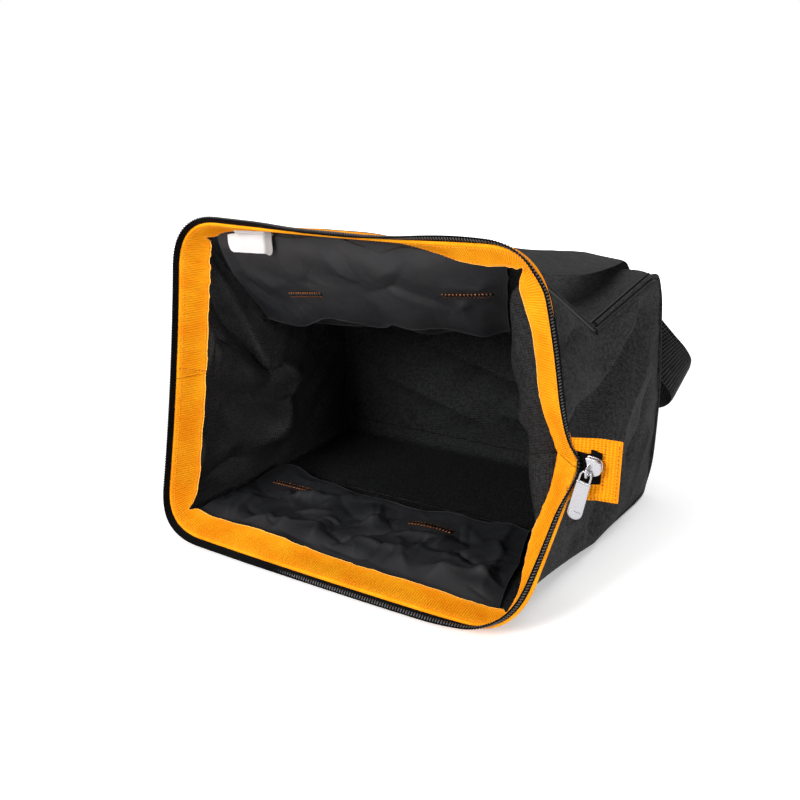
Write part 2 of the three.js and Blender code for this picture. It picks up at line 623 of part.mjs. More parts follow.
const bag = new THREE.Group();
function add(name, finish, geometry) {
  const mesh = new THREE.Mesh(geometry, new THREE.MeshStandardMaterial(COLOURS[finish]));
  mesh.name = name;
  bag.add(mesh);
}

const UPPER_ANCHORS = { right: 0.27, left: 0.76 };
const LOWER_ANCHORS = { left: 0.15, right: 0.60 };
const lowerX = (share) => wallPoint(SIDE.bottom + share, 2.9).x;

add('upper_flap', 'nylon', wallPanel(SIDE.top, FLAP_LEVELS));
add('lower_flap', 'nylon', wallPanel(SIDE.bottom, FLAP_LEVELS));
add('upper_lining', 'nylon', flapLining(SIDE.top, 0.13, 0.95));
add('lower_lining', 'nylon', flapLining(SIDE.bottom, 0.05, 0.87));
add('upper_panel', 'polyester', wallPanel(SIDE.top, BOX_LEVELS));
add('lower_panel', 'polyester', wallPanel(SIDE.bottom, BOX_LEVELS));
add('right_end_panel', 'polyester', wallPanel(SIDE.right, [...FLAP_LEVELS, ...BOX_LEVELS.slice(1)]));
add('left_end_panel', 'polyester', wallPanel(SIDE.left, [...FLAP_LEVELS, ...BOX_LEVELS.slice(1)]));
add('base_panel', 'polyester', basePanel());
add('right_piping', 'polyester', piping(SIDE.top, SIDE.right, SIDE.right));
add('left_piping', 'polyester', piping(SIDE.left, SIDE.bottom, SIDE.left));
add('upper_mouth_tape', 'orange', mouthTape(ZIP_END_U, ZIP_START_U));
add('lower_mouth_tape', 'orange', mouthTape(ZIP_START_U - 4, ZIP_END_U));
add('upper_zip_chain', 'zip', zipChain(ZIP_END_U, ZIP_START_U));
add('lower_zip_chain', 'zip', zipChain(ZIP_START_U - 4, ZIP_END_U));
add('zip_end', 'zip', zipEnd());
add('zip_end_tab', 'orange', zipEndTab());
add('zip_slider', 'metal', zipSlider());
add('zip_puller', 'metal', zipPuller());
add('label', 'label', label());
add('upper_handle', 'webbing', webbing([
  ...anchor(SIDE.top, UPPER_ANCHORS.right, 1),
  ...asStations(UPPER_ROUTE),
  ...anchor(SIDE.top, UPPER_ANCHORS.left, -1).reverse(),
], 110));
add('lower_handle', 'webbing', webbing([
  ...anchor(SIDE.bottom, LOWER_ANCHORS.right, 1).reverse(),
  ...asStations(lowerRoute(lowerX(LOWER_ANCHORS.right), lowerX(LOWER_ANCHORS.left))),
  ...anchor(SIDE.bottom, LOWER_ANCHORS.left, -1),
], 90));

// The origin is the middle of the underside of the whole bag's box
const box = new THREE.Box3().setFromObject(bag);
const middle = box.getCenter(new THREE.Vector3());
bag.position.set(-middle.x, -middle.y, -box.min.z);
bag.updateMatrixWorld(true);

export default bag;
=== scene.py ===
"""Soft black tool bag lying on its long side, its framed mouth edged in orange tape and standing open.

Shapes are worked out in millimetres in the bag's own frame: the origin is the mouth's lower right corner on
the ground, +X along the bag's length, +Y from the mouth into the bag and +Z up. place() moves them into the
part's frame.

A place on the wall is a side, a share s from 0 to 1 along it and a level v from 0 to 5: the rim, the tape's inner
edge, the flap's middle, the cross seam, the base's edge and the end of the base's rounding. A place round the
mouth is u from 0 to 4, one for each side.
"""
import math

import bpy
import numpy as np
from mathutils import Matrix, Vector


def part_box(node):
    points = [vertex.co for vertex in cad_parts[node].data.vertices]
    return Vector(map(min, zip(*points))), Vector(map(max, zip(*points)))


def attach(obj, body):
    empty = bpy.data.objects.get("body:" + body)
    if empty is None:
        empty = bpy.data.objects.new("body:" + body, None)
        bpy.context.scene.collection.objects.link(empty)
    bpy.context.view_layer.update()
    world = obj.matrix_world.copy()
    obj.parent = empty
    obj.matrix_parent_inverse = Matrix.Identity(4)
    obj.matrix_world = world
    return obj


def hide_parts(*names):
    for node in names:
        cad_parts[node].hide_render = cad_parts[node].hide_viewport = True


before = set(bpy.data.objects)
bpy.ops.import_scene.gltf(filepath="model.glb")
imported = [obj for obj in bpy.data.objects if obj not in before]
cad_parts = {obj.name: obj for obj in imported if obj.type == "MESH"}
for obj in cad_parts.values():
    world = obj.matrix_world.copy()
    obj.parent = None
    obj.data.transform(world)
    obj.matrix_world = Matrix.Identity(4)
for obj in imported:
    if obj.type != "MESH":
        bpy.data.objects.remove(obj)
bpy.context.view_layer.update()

# The zip tab's far upper corner in the bag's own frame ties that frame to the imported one
TAB_CORNER = np.array([55.8, 32.4, 152.0])
SHIFT = np.array(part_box("zip_end_tab")[1]) * 1000 - TAB_CORNER

# Driving sizes, in millimetres
CLOTH = 1.5
LINING = 0.8
TAPE_WIDTH = 25.0
TAPE_THICK = 1.1
BASE_ROUND = 14.0
BASE_BELLY = 3.0
PIPING_R = 1.8
WEBBING_WIDTH = 38.0
WEBBING_THICK = 2.0
COIL_PITCH = 2.3

# Where the zip ends on the right and starts on the left, round the mouth
ZIP_END_U = 1.426
ZIP_START_U = 3.5

# The camera, from the photograph's perspective: millimetres and degrees
CAMERA_AT = np.array([211.6, -590.9, 427.5])
CAMERA_PITCH = 68.54
CAMERA_HEADING = 27.8
CAMERA_LENS = 45.0
CAMERA_SENSOR = 36.0

# Cross-sections from the mouth's rim to the base: corners lower left, lower right, upper right, upper left,
# and the bow of the lower, right, upper and left sides
BOTTOM, RIGHT, TOP, LEFT = range(4)
SECTIONS = {
    "rim": dict(
        radius=40,
        corners=[(-325.5, -6, 7.5), (3, -21, 7.5), (-6, 12, 285), (-326.5, 45, 267.5)],
        bows=[(0, -2, 0), (25.5, 39, 0), (0, 4, -4), (4, 0, 0)],
    ),
    "flap": dict(
        radius=26,
        corners=[(-322, 55, 8), (2, 48, 8), (-12, 62, 252), (-318, 84, 228)],
        bows=[(0, 0, 0), (6, 4, 0), (0, 0, -4), (0, 0, 0)],
    ),
    "seam": dict(
        radius=8,
        corners=[(-312, 141, 3.4), (12, 141, 3.4), (-4, 141, 196), (-310, 134, 162)],
        bows=[(0, 0, 0), (8, 0, 0), (0, 0, -6), (0, 0, 0)],
    ),
    "base": dict(
        radius=7,
        corners=[(-300, 255, 3.4), (22, 253, 3.4), (15, 255, 217), (-300, 255, 206)],
        bows=[(0, 0, 0), (5, 0, 0), (0, 0, -2), (-8, 0, 0)],
    ),
}
OUTWARD = np.array([(0, 0, -1), (1, 0, 0), (0, 0, 1), (-1, 0, 0)], float)
AXIS_Y = np.array([0.0, 1.0, 0.0])
SIDE_LENGTH = np.array([320.0, 230.0, 320.0, 230.0])
LEVEL_DEPTH = [0, 25, 65, 150, 265, 285]
# The right sides' kink at the zip's end: share along the side, rounding, and sag above it
KINK_AT = 0.447
KINK_ROUNDING = 0.1
KINK_SAG = 2.0
# The base's upper right corner sags: depth, middle, reach and direction
CORNER_SLUMP = 4.5
SLUMP_AT = np.array([15.0, 259.0, 215.0])
SLUMP_REACH = 12.0
SLUMP_WAY = np.array([0.35, 0, 1])

# Round the mouth: place, how far the orange tape turns inward and the zip tape outward, as shares of 1
RIM_TURN = np.array([
    (0, 0.40, 0.45), (0.1, 0.20, 0.65), (0.24, 0.32, 0.72), (0.32, 0.29, 0.74), (0.42, 0.13, 0.75),
    (0.5, 0.07, 0.75), (0.8, 0.08, 0.55), (0.88, 0.00, 0.10), (0.96, 0.08, -0.55), (1.03, 0.30, -0.60),
    (1.1, 0.51, -0.55), (1.2, 0.58, -0.50), (1.32, 0.59, -0.40), (1.43, 0.76, 0.58), (1.5, 0.72, 0.15),
    (1.6, 0.80, -0.10), (1.8, 0.80, -0.15), (1.9, 0.89, -0.05), (1.97, 0.86, 0.20), (2.04, 0.66, 0.45),
    (2.15, 0.70, 0.70), (2.21, 0.62, 0.72), (2.28, 0.42, 0.60), (2.36, 0.24, 0.30), (2.45, 0.10, 0.12),
    (2.62, 0.10, 0.20), (2.75, 0.22, 0.60), (2.9, 0.38, 0.65), (3, 0.48, 0.35), (3.1, 0.50, 0.15),
    (3.5, 0.49, 0.15), (3.9, 0.48, 0.18), (4, 0.40, 0.45),
])
RIM_BLUR = 0.03
# Pinches of the tape at the mouth's corners: place, depth, reach
PINCHES = [
    (0.0, 6, 0.06), (1.01, 13, 0.07), (2.0, 8, 0.06), (3.0, 4, 0.05), (4.0, 6, 0.06),
    (0.0, 6, 0.014), (1.0, 6, 0.014), (1.995, 9, 0.014), (3.0, 6, 0.014), (4.0, 6, 0.014),
]
# The tape spreads below the zip's end: place, extra width, reach
TAPE_SPREAD = (1.22, 4, 0.12)
TAPE_WAVE = 0.5
# Soft folds pressed into the wall: side, from (share, level), to (share, level), height, width
FOLDS = [
    (RIGHT, (0.93, 1.2), (0.72, 1.9), -9, 22), (RIGHT, (0.82, 3.9), (0.45, 2.4), -7, 16),
    (RIGHT, (0.92, 3.4), (0.60, 2.2), 4, 18), (RIGHT, (0.10, 3.3), (0.55, 3.8), 4, 20),
    (RIGHT, (0.08, 2.6), (0.30, 2.9), -5, 14), (RIGHT, (0.82, 1.95), (0.37, 1.85), -18, 27),
    (LEFT, (0.10, 1.3), (0.32, 3.0), 12, 20), (LEFT, (0.40, 1.2), (0.38, 2.6), -9, 24),
    (LEFT, (0.62, 1.4), (0.55, 3.2), 7, 22), (LEFT, (0.80, 1.3), (0.72, 3.0), -6, 20),
    (TOP, (0.08, 2.9), (0.16, 3.2), 12, 20), (TOP, (0.44, 1.6), (0.47, 2.9), -5, 22),
    (TOP, (0.59, 1.5), (0.56, 2.9), 4, 20), (TOP, (0.20, 3.7), (0.80, 3.6), -4, 40),
]
FOLD_EDGE = 0.1
# Sharp creases pressed into the wall: side, places (share, level), height, width
CREASES = [
    (RIGHT, [(0.86, 3.95), (0.68, 3.2), (0.50, 2.45)], -20, 15),
    (RIGHT, [(0.97, 3.75), (0.78, 2.90)], 7, 10),
    (RIGHT, [(0.72, 3.98), (0.36, 3.05)], 6, 12),
    (RIGHT, [(0.97, 2.80), (0.86, 2.55), (0.80, 2.20)], -9, 7),
    (RIGHT, [(0.60, 3.98), (0.25, 3.4)], -6, 10),
    (RIGHT, [(0.40, 3.9), (0.06, 3.45)], 6, 10),
    (RIGHT, [(0.30, 3.2), (0.05, 2.9)], -8, 9),
    (RIGHT, [(0.24, 2.5), (0.06, 2.8)], 5, 9),
    (RIGHT, [(0.70, 2.2), (0.52, 1.6)], -5, 8),
    (LEFT, [(0.05, 1.1), (0.06, 2.9)], 8, 10),
    (LEFT, [(0.10, 2.5), (0.25, 3.05), (0.45, 3.25), (0.65, 3.1), (0.82, 2.6)], -17, 17),
    (LEFT, [(0.18, 1.2), (0.32, 2.1)], 12, 9),
    (LEFT, [(0.41, 1.5), (0.33, 2.1)], -5, 9),
    (LEFT, [(0.95, 1.3), (0.86, 2.6)], 10, 10),
]


# Numbers and lines


def place(points):
    """Millimetres in the bag's own frame to metres in the part's frame."""
    return (np.asarray(points) + SHIFT) / 1000


def unit(v):
    """Vectors divided by their lengths."""
    return v / np.maximum(np.linalg.norm(v, axis=-1, keepdims=True), 1e-9)


def smooth(t):
    """3t² − 2t³ between 0 and 1."""
    t = np.clip(t, 0, 1)
    return t * t * (3 - 2 * t)


def bell(x, reach):
    """e to the power of −(x/reach)²."""
    return np.exp(-((x / reach) ** 2))


def steps(low, high, step):
    """Evenly spaced numbers about a step apart, both ends included."""
    return np.linspace(low, high, max(2, int(round((high - low) / step)) + 1))


def blurred(x, table, column, reach, period=None):
    """A table's column at x, averaged over a short stretch so that the table's corners are rounded."""
    taps = np.linspace(-reach, reach, 7)
    return sum(np.interp(x + tap, table[:, 0], table[:, column], period=period) for tap in taps) / len(taps)


def distances(points):
    """How far each point of a line lies from the first, measured along the line."""
    return np.concatenate([[0], np.cumsum(np.linalg.norm(np.diff(points, axis=0), axis=1))])


def from_line(x, y, first, last):
    """Each point's share along the straight line from first to last, from 0 to 1, and its distance from it."""
    run = np.subtract(last, first)
    dx, dy = x - first[0], y - first[1]
    t = np.clip((dx * run[0] + dy * run[1]) / (run @ run), 0, 1)
    return t, np.hypot(dx - t * run[0], dy - t * run[1])


def spline(points, count):
    """A smooth curve through points: cubic pieces whose slopes follow their neighbours, evenly spaced along it,
    with the place of each step among the points."""
    p = np.asarray(points, float)
    knots = np.concatenate([[0], np.cumsum(np.sqrt(np.linalg.norm(np.diff(p, axis=0), axis=1)) + 1e-9)])
    slope = np.gradient(p, knots, axis=0)
    fine = np.linspace(0, knots[-1], count * 6)
    k = np.clip(np.searchsorted(knots, fine, "right") - 1, 0, len(p) - 2)
    h = (knots[k + 1] - knots[k])[:, None]
    t = (fine - knots[k])[:, None] / h
    curve = ((2 * t ** 3 - 3 * t ** 2 + 1) * p[k] + (t ** 3 - 2 * t ** 2 + t) * h * slope[k]
             + (3 * t ** 2 - 2 * t ** 3) * p[k + 1] + (t ** 3 - t ** 2) * h * slope[k + 1])
    run = distances(curve)
    even = np.linspace(0, run[-1], count)
    place_in = np.interp(even, run, np.interp(fine, knots, np.arange(len(p))))
    return np.stack([np.interp(even, run, curve[:, axis]) for axis in range(3)], 1), place_in


def crumple(x, y, size, seed):
    """Creased cloth from −1 to 1: seeded triangle waves, each bent by a slow sine and fading in and out."""
    rng = np.random.default_rng(seed)
    total = 0 * x
    waves = 7
    for _ in range(waves):
        angle, phase, bent, gate_a, gate_b = rng.uniform(0, 2 * math.pi, 5)
        length = size * rng.uniform(0.6, 1.7)
        along = x * math.cos(angle) + y * math.sin(angle)
        aside = y * math.cos(angle) - x * math.sin(angle)
        phase_at = along / length + 0.3 * np.sin(aside / size / 1.4 + bent) + phase
        gate = 0.5 + 0.5 * np.sin(aside / size / 1.1 + gate_a) * np.sin(along / size / 1.9 + gate_b)
        total = total + (4 * np.abs(phase_at % 1 - 0.5) - 1) * gate
    return total / math.sqrt(waves)


# The wall's shape


def depth_at(v):
    """Millimetres down the wall from the rim to a level."""
    return np.interp(v, range(len(LEVEL_DEPTH)), LEVEL_DEPTH)


def laid_flat(side, s, v):
    """A place on the wall as millimetres along its side and down from the rim."""
    return s * SIDE_LENGTH[side], depth_at(v)


def side_point(section, side, s):
    """Straight from corner to corner, plus the side's bow times 4s(1−s), or on the right times a rounded kink
    with a slight sag above it."""
    corners = np.array(section["corners"], float)
    start, end = corners[side], corners[(side + 1) % 4]
    away = np.where(s < KINK_AT, (KINK_AT - s) / KINK_AT, (s - KINK_AT) / (1 - KINK_AT))
    top = math.hypot(1, KINK_ROUNDING)
    sag = np.where(s > KINK_AT, KINK_SAG * away * (1 - away) ** 4, 0)
    kink = (top - np.hypot(away, KINK_ROUNDING)) / (top - KINK_ROUNDING) - sag
    bump = kink if side == RIGHT else 4 * s * (1 - s)
    return start + (end - start) * s[..., None] + np.array(section["bows"][side], float) * bump[..., None]


def bend(p0, p1, p2, t):
    """A quadratic curve from p0 to p2, drawn towards p1."""
    t = t[..., None]
    return (1 - t) ** 2 * p0 + 2 * t * (1 - t) * p1 + t * t * p2


def loop_point(section, u):
    """A closed loop of four sides, u from 0 to 4, whose corners are quadratic curves."""
    corners = np.array(section["corners"], float)
    reach = section["radius"] / np.linalg.norm(np.roll(corners, -1, 0) - corners, axis=1)
    out = np.zeros(np.shape(u) + (3,))
    whole = np.floor(u % 4).astype(int)
    for side in range(4):
        mask = whole == side
        s = (u % 4)[mask] - side
        before, after = (side + 3) % 4, (side + 1) % 4
        share = reach[side] * 0.9
        along = np.clip((s - share) / (1 - 2 * share), 0, 1)
        middle = side_point(section, side, reach[side] + along * (1 - 2 * reach[side]))
        coming = side_point(section, before, np.array(1 - reach[before]))
        near = side_point(section, side, np.array(reach[side]))
        far = side_point(section, side, np.array(1 - reach[side]))
        leaving = side_point(section, after, np.array(reach[after]))
        first = bend(coming, corners[side], near, 0.5 + 0.5 * s / share)
        last = bend(far, corners[after], leaving, 0.5 * (s - 1 + share) / share)
        out[mask] = np.where((s < share)[:, None], first, np.where((s > 1 - share)[:, None], last, middle))
    return out


def rim_frame(u):
    """The rim's point and direction, the tape's and the zip's directions across it, and the tape's normal out of
    the bag."""
    step = 0.004
    rim = loop_point(SECTIONS["rim"], u)
    along = unit(loop_point(SECTIONS["rim"], u + step) - loop_point(SECTIONS["rim"], u - step))
    inward = unit(np.stack([-along[..., 2], 0 * along[..., 0], along[..., 0]], -1))
    tape = blurred(u, RIM_TURN, 1, RIM_BLUR, 4)[..., None]
    zipped = blurred(u, RIM_TURN, 2, RIM_BLUR, 4)[..., None]
    tape_dir = inward * tape + AXIS_Y * np.sqrt(1 - tape * tape)
    zip_dir = -inward * zipped - AXIS_Y * np.sqrt(1 - zipped * zipped)
    return rim, along, tape_dir, zip_dir, unit(np.cross(tape_dir, along))


def tape_width(u):
    """The tape's width less a bell-shaped pinch at each corner, a little more below the zip's end, with a slow
    small wave."""
    u = np.asarray(u) % 4
    pinch = sum(depth * bell(u - at, reach) for at, depth, reach in PINCHES)
    at, extra, reach = TAPE_SPREAD
    wave_at = np.sin(u * 47) * np.sin(u * 19 + 1)
    return TAPE_WIDTH + extra * bell(u - at, reach) - pinch + TAPE_WAVE * wave_at


def fold_height(side, s, v):
    """The sum of soft ridges and valleys, each a bell across the straight line between its two places, which
    vanish at the side's edges, the tape and the base."""
    x, y = laid_flat(side, s, v)
    height = np.zeros(np.broadcast(s, v).shape)
    for on, first, last, rise, width in FOLDS:
        if on == side:
            _, away = from_line(x, y, laid_flat(side, *first), laid_flat(side, *last))
            height = height + rise * bell(away, width)
    keep = smooth(s / FOLD_EDGE) * smooth((1 - s) / FOLD_EDGE) * smooth((v - 1) / 0.4) * smooth(5 - v)
    return height * keep


def crease_height(side, s, v):
    """Ridges and valleys with a sharp middle: a height falling off exponentially across a broken line, whose
    two ends fade."""
    x, y = laid_flat(side, s, v)
    height = 0 * s
    for on, places, rise, width in CREASES:
        if on != side:
            continue
        corners = [laid_flat(side, *at) for at in places]
        nearest, along = np.full(s.shape, np.inf), 0 * s
        for number, (first, last) in enumerate(zip(corners[:-1], corners[1:])):
            t, away = from_line(x, y, first, last)
            along = np.where(away < nearest, (number + t) / (len(corners) - 1), along)
            nearest = np.minimum(nearest, away)
        fade = smooth(np.minimum(along, 1 - along) * 4 + 0.15)
        height = height + rise * fade * np.exp(-(np.sqrt(nearest ** 2 + 1.2) - 1.1) / width)
    return height


def wall(side, s, v):
    """The bag's outer surface on one side: the tape's strip to level 1, a parabola through tape edge, flap and
    seam to level 3, straight to the base at 4 and a quarter round to 5, pushed out by its folds."""
    u = side + np.clip(s, 0, 0.99999)
    rim, _, tape_dir, _, _ = rim_frame(u)
    edge = rim + tape_dir * tape_width(u)[..., None]
    flap, seam, base = (loop_point(SECTIONS[name], u) for name in ("flap", "seam", "base"))
    v3 = v[..., None]
    strip = rim + (edge - rim) * v3
    soft = edge * (v3 - 2) * (v3 - 3) / 2 - flap * (v3 - 1) * (v3 - 3) + seam * (v3 - 1) * (v3 - 2) / 2
    box = seam + (base - seam) * (v3 - 3)
    turn = (np.clip(v, 4, 5) - 4) * math.pi / 2
    lift = {BOTTOM: 1 + 0 * s, RIGHT: 1 - 2 * s, TOP: 0 * s - 1, LEFT: 2 * s - 1}[side]
    round_off = base.copy()
    round_off[..., 1] += BASE_ROUND * np.sin(turn)
    round_off[..., 2] += BASE_ROUND * (1 - np.cos(turn)) * lift
    point = np.where(v3 <= 1, strip, np.where(v3 <= 3, soft, np.where(v3 <= 4, box, round_off)))
    point = point + OUTWARD[side] * fold_height(side, s, v)[..., None]
    slump = CORNER_SLUMP * bell(np.linalg.norm(point - SLUMP_AT, axis=-1), SLUMP_REACH)
    return point - slump[..., None] * SLUMP_WAY


def grid_normal(points):
    """Unit normals of a grid, rows along the wall and columns round it, pointing out of the bag."""
    return unit(np.cross(np.gradient(points, axis=0), np.gradient(points, axis=1)))


# Meshes


def lengths(points):
    """Mean distances along a grid's columns and rows, in metres, for the cloth's own UV map."""
    across = np.linalg.norm(np.diff(points, axis=1), axis=2).mean(0)
    down = np.linalg.norm(np.diff(points, axis=0), axis=2).mean(1)
    along_u = np.concatenate([[0], np.cumsum(across)]) / 1000
    along_v = np.concatenate([[0], np.cumsum(down)]) / 1000
    return np.stack(np.meshgrid(along_u, along_v), -1)


def outward(points, quads, caps):
    """Turns the faces of a closed body round if its signed volume is negative."""
    corners = points[quads]
    tri = np.concatenate([corners[:, [0, 1, 2]], corners[:, [0, 2, 3]]])
    for cap in caps:
        ring = points[cap]
        fan = np.stack([np.repeat(ring[:1], len(cap) - 2, 0), ring[1:-1], ring[2:]], 1)
        tri = np.concatenate([tri, fan])
    if np.einsum("ij,ij->i", tri[:, 0], np.cross(tri[:, 1], tri[:, 2])).sum() < 0:
        return quads[:, ::-1], [cap[::-1] for cap in caps]
    return quads, caps


def make_piece(name, points, quads, uv, smooth_faces, material, nodes=(), slot=None, body="bag", caps=(),
               inside=None):
    """A mesh from quads and end caps, its first faces smooth, riding on a body. An inside material goes on the
    second half of the smooth faces."""
    mesh = bpy.data.meshes.new(name)
    sizes = np.array([4] * len(quads) + [len(cap) for cap in caps])
    loops = np.concatenate([quads.ravel()] + [np.asarray(cap) for cap in caps]).astype(np.int32)
    number = np.arange(len(sizes))
    mesh.vertices.add(len(points))
    mesh.vertices.foreach_set("co", place(points).astype(np.float32).ravel())
    mesh.loops.add(len(loops))
    mesh.loops.foreach_set("vertex_index", loops)
    mesh.polygons.add(len(sizes))
    mesh.polygons.foreach_set("loop_start", np.concatenate([[0], np.cumsum(sizes)[:-1]]).astype(np.int32))
    mesh.polygons.foreach_set("use_smooth", number < smooth_faces)
    layer = mesh.uv_layers.new(name="cloth")
    layer.data.foreach_set("uv", uv.reshape(-1, 2)[loops].astype(np.float32).ravel())
    mesh.update(calc_edges=True)
    mesh.validate()
    mesh.materials.append(material)
    if inside:
        mesh.materials.append(inside)
        inner = (number >= smooth_faces // 2) & (number < smooth_faces)
        mesh.polygons.foreach_set("material_index", inner.astype(np.int32))
    piece = bpy.data.objects.new(name, mesh)
    bpy.context.scene.collection.objects.link(piece)
    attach(piece, body)
    if nodes:
        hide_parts(*nodes)
    return piece


def grid_quads(rows, columns):
    """Corner numbers of each face of a grid of points."""
    r, c = np.meshgrid(np.arange(rows - 1), np.arange(columns - 1), indexing="ij")
    at = (r * columns + c).ravel()
    return np.stack([at + 1, at + columns + 1, at + columns, at], 1)


def ring_quads(rows, around):
    """Corner numbers of each face between closed rings of points."""
    k, i = np.meshgrid(np.arange(rows - 1) * around, np.arange(around), indexing="ij")
    j = (i + 1) % around
    return np.stack([k + i, k + j, k + around + j, k + around + i], -1).reshape(-1, 4)


def shell(name, outer, inner, material, **keys):
    """A closed cloth between two grids of points, with its four edges walled."""
    rows, columns = outer.shape[:2]
    count = rows * columns
    faces = grid_quads(rows, columns)
    rim = np.concatenate([
        np.arange(columns), np.arange(1, rows) * columns + columns - 1,
        count - 2 - np.arange(columns - 1), (rows - 2 - np.arange(rows - 2)) * columns,
    ])
    after = np.roll(rim, -1)
    walls = np.stack([rim, after, after + count, rim + count], 1)
    quads = np.concatenate([faces, faces[:, ::-1] + count, walls])
    points = np.concatenate([outer.reshape(-1, 3), inner.reshape(-1, 3)])
    quads, _ = outward(points, quads, [])
    uv = lengths(outer)
    return make_piece(name, points, quads, np.concatenate([uv, uv]), 2 * len(faces), material, **keys)


def tubes(name, ring_sets, material, **keys):
    """Each set of rings joined into a closed body with a face at each end, all as one piece."""
    points, quads, caps, uv, base = [], [], [], [], 0
    for rings in ring_sets:
        count, around = rings.shape[:2]
        flat = rings.reshape(-1, 3)
        ends = [np.arange(around)[::-1], (count - 1) * around + np.arange(around)]
        faces, ends = outward(flat, ring_quads(count, around), ends)
        run = distances(rings.mean(1)) / 1000
        girth = np.linalg.norm(rings - np.roll(rings, 1, 1), axis=2).mean(0).sum() / 1000
        uv.append(np.stack(np.meshgrid(np.linspace(0, girth, around), run), -1).reshape(-1, 2))
        points.append(flat)
        quads.append(faces + base)
        caps += [end + base for end in ends]
        base += len(flat)
    quads = np.concatenate(quads)
    points, uv = np.concatenate(points), np.concatenate(uv)
    return make_piece(name, points, quads, uv, len(quads), material, caps=caps, **keys)


def sweep(path, radius, sides=10):
    """Rings of a round profile along a path, held level by a fixed side direction."""
    ahead = unit(np.gradient(path, axis=0))
    side = unit(np.cross(ahead, np.array([0.31, 0.17, 0.93])))[:, None]
    up = np.cross(ahead, side[:, 0])[:, None]
    turn = np.linspace(0, 2 * math.pi, sides, endpoint=False)[None, :, None]
    return path[:, None] + radius * (np.cos(turn) * side + np.sin(turn) * up)


def plate_rings(outline, front, back, bevel):
    """Rings of a plate whose outline is given in x and z, between two depths, with rounded edges."""
    p = np.array(outline, float)
    x, z = p.T
    if (x * np.roll(z, -1) - np.roll(x, -1) * z).sum() < 0:
        p = p[::-1]
    run = unit(np.roll(p, -1, 0) - np.roll(p, 1, 0))
    inside = np.stack([-run[:, 1], run[:, 0]], 1)
    edge = [(0, 1), (0.3, 0.3), (1, 0)]
    sections = [(front + deep * bevel, share) for deep, share in edge]
    sections += [(back - deep * bevel, share) for deep, share in edge[::-1]]
    rings = []
    for depth, share in sections:
        q = p + inside * bevel * share
        rings.append(np.stack([q[:, 0], np.full(len(q), depth), q[:, 1]], 1))
    return np.array(rings)


def soften(outline, reach, count=5):
    """An outline with each corner replaced by a short quadratic curve."""
    p = np.array(outline, float)
    to_before, to_after = np.roll(p, 1, 0) - p, np.roll(p, -1, 0) - p
    a = p + unit(to_before) * np.minimum(reach, 0.45 * np.linalg.norm(to_before, axis=1))[:, None]
    b = p + unit(to_after) * np.minimum(reach, 0.45 * np.linalg.norm(to_after, axis=1))[:, None]
    return bend(a[:, None], p[:, None], b[:, None], np.linspace(0, 1, count)[None]).reshape(-1, 2)


def many(name, template, faces, places, axes, material, **keys):
    """One small closed shape copied to each place along three axes, joined as one mesh."""
    points = places[:, None, :] + np.einsum("vk,nkx->nvx", template, axes)
    first, _ = outward(points[0], faces, [])
    quads = (first[None] + (np.arange(len(places)) * len(template))[:, None, None]).reshape(-1, 4)
    uv = np.broadcast_to(template[None, :, :2] / 1000, points.shape[:2] + (2,))
    return make_piece(name, points.reshape(-1, 3), quads, uv, len(quads), material, **keys)


def bead(sides, rows):
    """A unit bead, round about its third axis: closed rows of points pinched at both ends."""
    around = np.linspace(0, 2 * math.pi, sides, endpoint=False)
    tall = np.linspace(-1, 1, rows)[:, None]
    wide = np.maximum((1 - tall ** 4) ** 0.5, 0.02)
    points = np.stack(np.broadcast_arrays(wide * np.cos(around), wide * np.sin(around), tall), -1)
    return points.reshape(-1, 3), ring_quads(rows, sides)


def stitches(name, at, ahead, up, length, radius, material, slot):
    """Stitches as small beads of thread lying along a direction, which may be one for all."""
    template, faces = bead(6, 5)
    ahead = unit(np.broadcast_to(ahead, at.shape))
    aside = unit(np.cross(np.broadcast_to(up, at.shape), ahead))
    axes = np.stack([aside * radius, np.cross(ahead, aside) * radius, ahead * length / 2], 1)
    many(name, template, faces, at, axes, material, slot=slot)


# Materials


def srgb(text):
    """A hex colour as linear red, green and blue."""
    values = np.array([int(text[k:k + 2], 16) for k in (1, 3, 5)]) / 255
    return tuple(np.where(values <= 0.04045, values / 12.92, ((values + 0.055) / 1.055) ** 2.4)) + (1.0,)


def node(tree, kind, links=None, values=None, **settings):
    """Adds a node with its settings, input values and links from other nodes' outputs."""
    made = tree.nodes.new(kind)
    for key, value in settings.items():
        setattr(made, key, value)
    for key, value in (values or {}).items():
        made.inputs[key].default_value = value
    for key, (source, output) in (links or {}).items():
        tree.links.new(source.outputs[output], made.inputs[key])
    return made


def start(name, **values):
    """A material with one Principled shader whose even values are set on its sockets."""
    material = bpy.data.materials.new(name)
    material.use_nodes = True
    tree = material.node_tree
    shader = tree.nodes["Principled BSDF"]
    for key, value in values.items():
        shader.inputs[key.replace("_", " ")].default_value = value
    return material, tree, shader


def tint(tree, shader, coords, size_mm, dark, light, detail=3):
    """Base colour that drifts between two colours over patches of a size in millimetres."""
    noise = node(tree, "ShaderNodeTexNoise", {"Vector": (coords, "Object")},
                 {"Scale": 1000 / size_mm, "Detail": detail})
    ramp = node(tree, "ShaderNodeValToRGB", {"Fac": (noise, "Fac")})
    for element, position, colour in zip(ramp.color_ramp.elements, (0.3, 0.7), (dark, light)):
        element.position = position
        element.color = srgb(colour)
    tree.links.new(ramp.outputs["Color"], shader.inputs["Base Color"])
    return ramp


def wave(tree, split, axis, pitch_mm):
    """A sine along one axis with a pitch in millimetres."""
    phase = node(tree, "ShaderNodeMath", {0: (split, axis)}, {1: 2000 * math.pi / pitch_mm},
                 operation="MULTIPLY")
    return node(tree, "ShaderNodeMath", {0: (phase, "Value")}, operation="SINE")


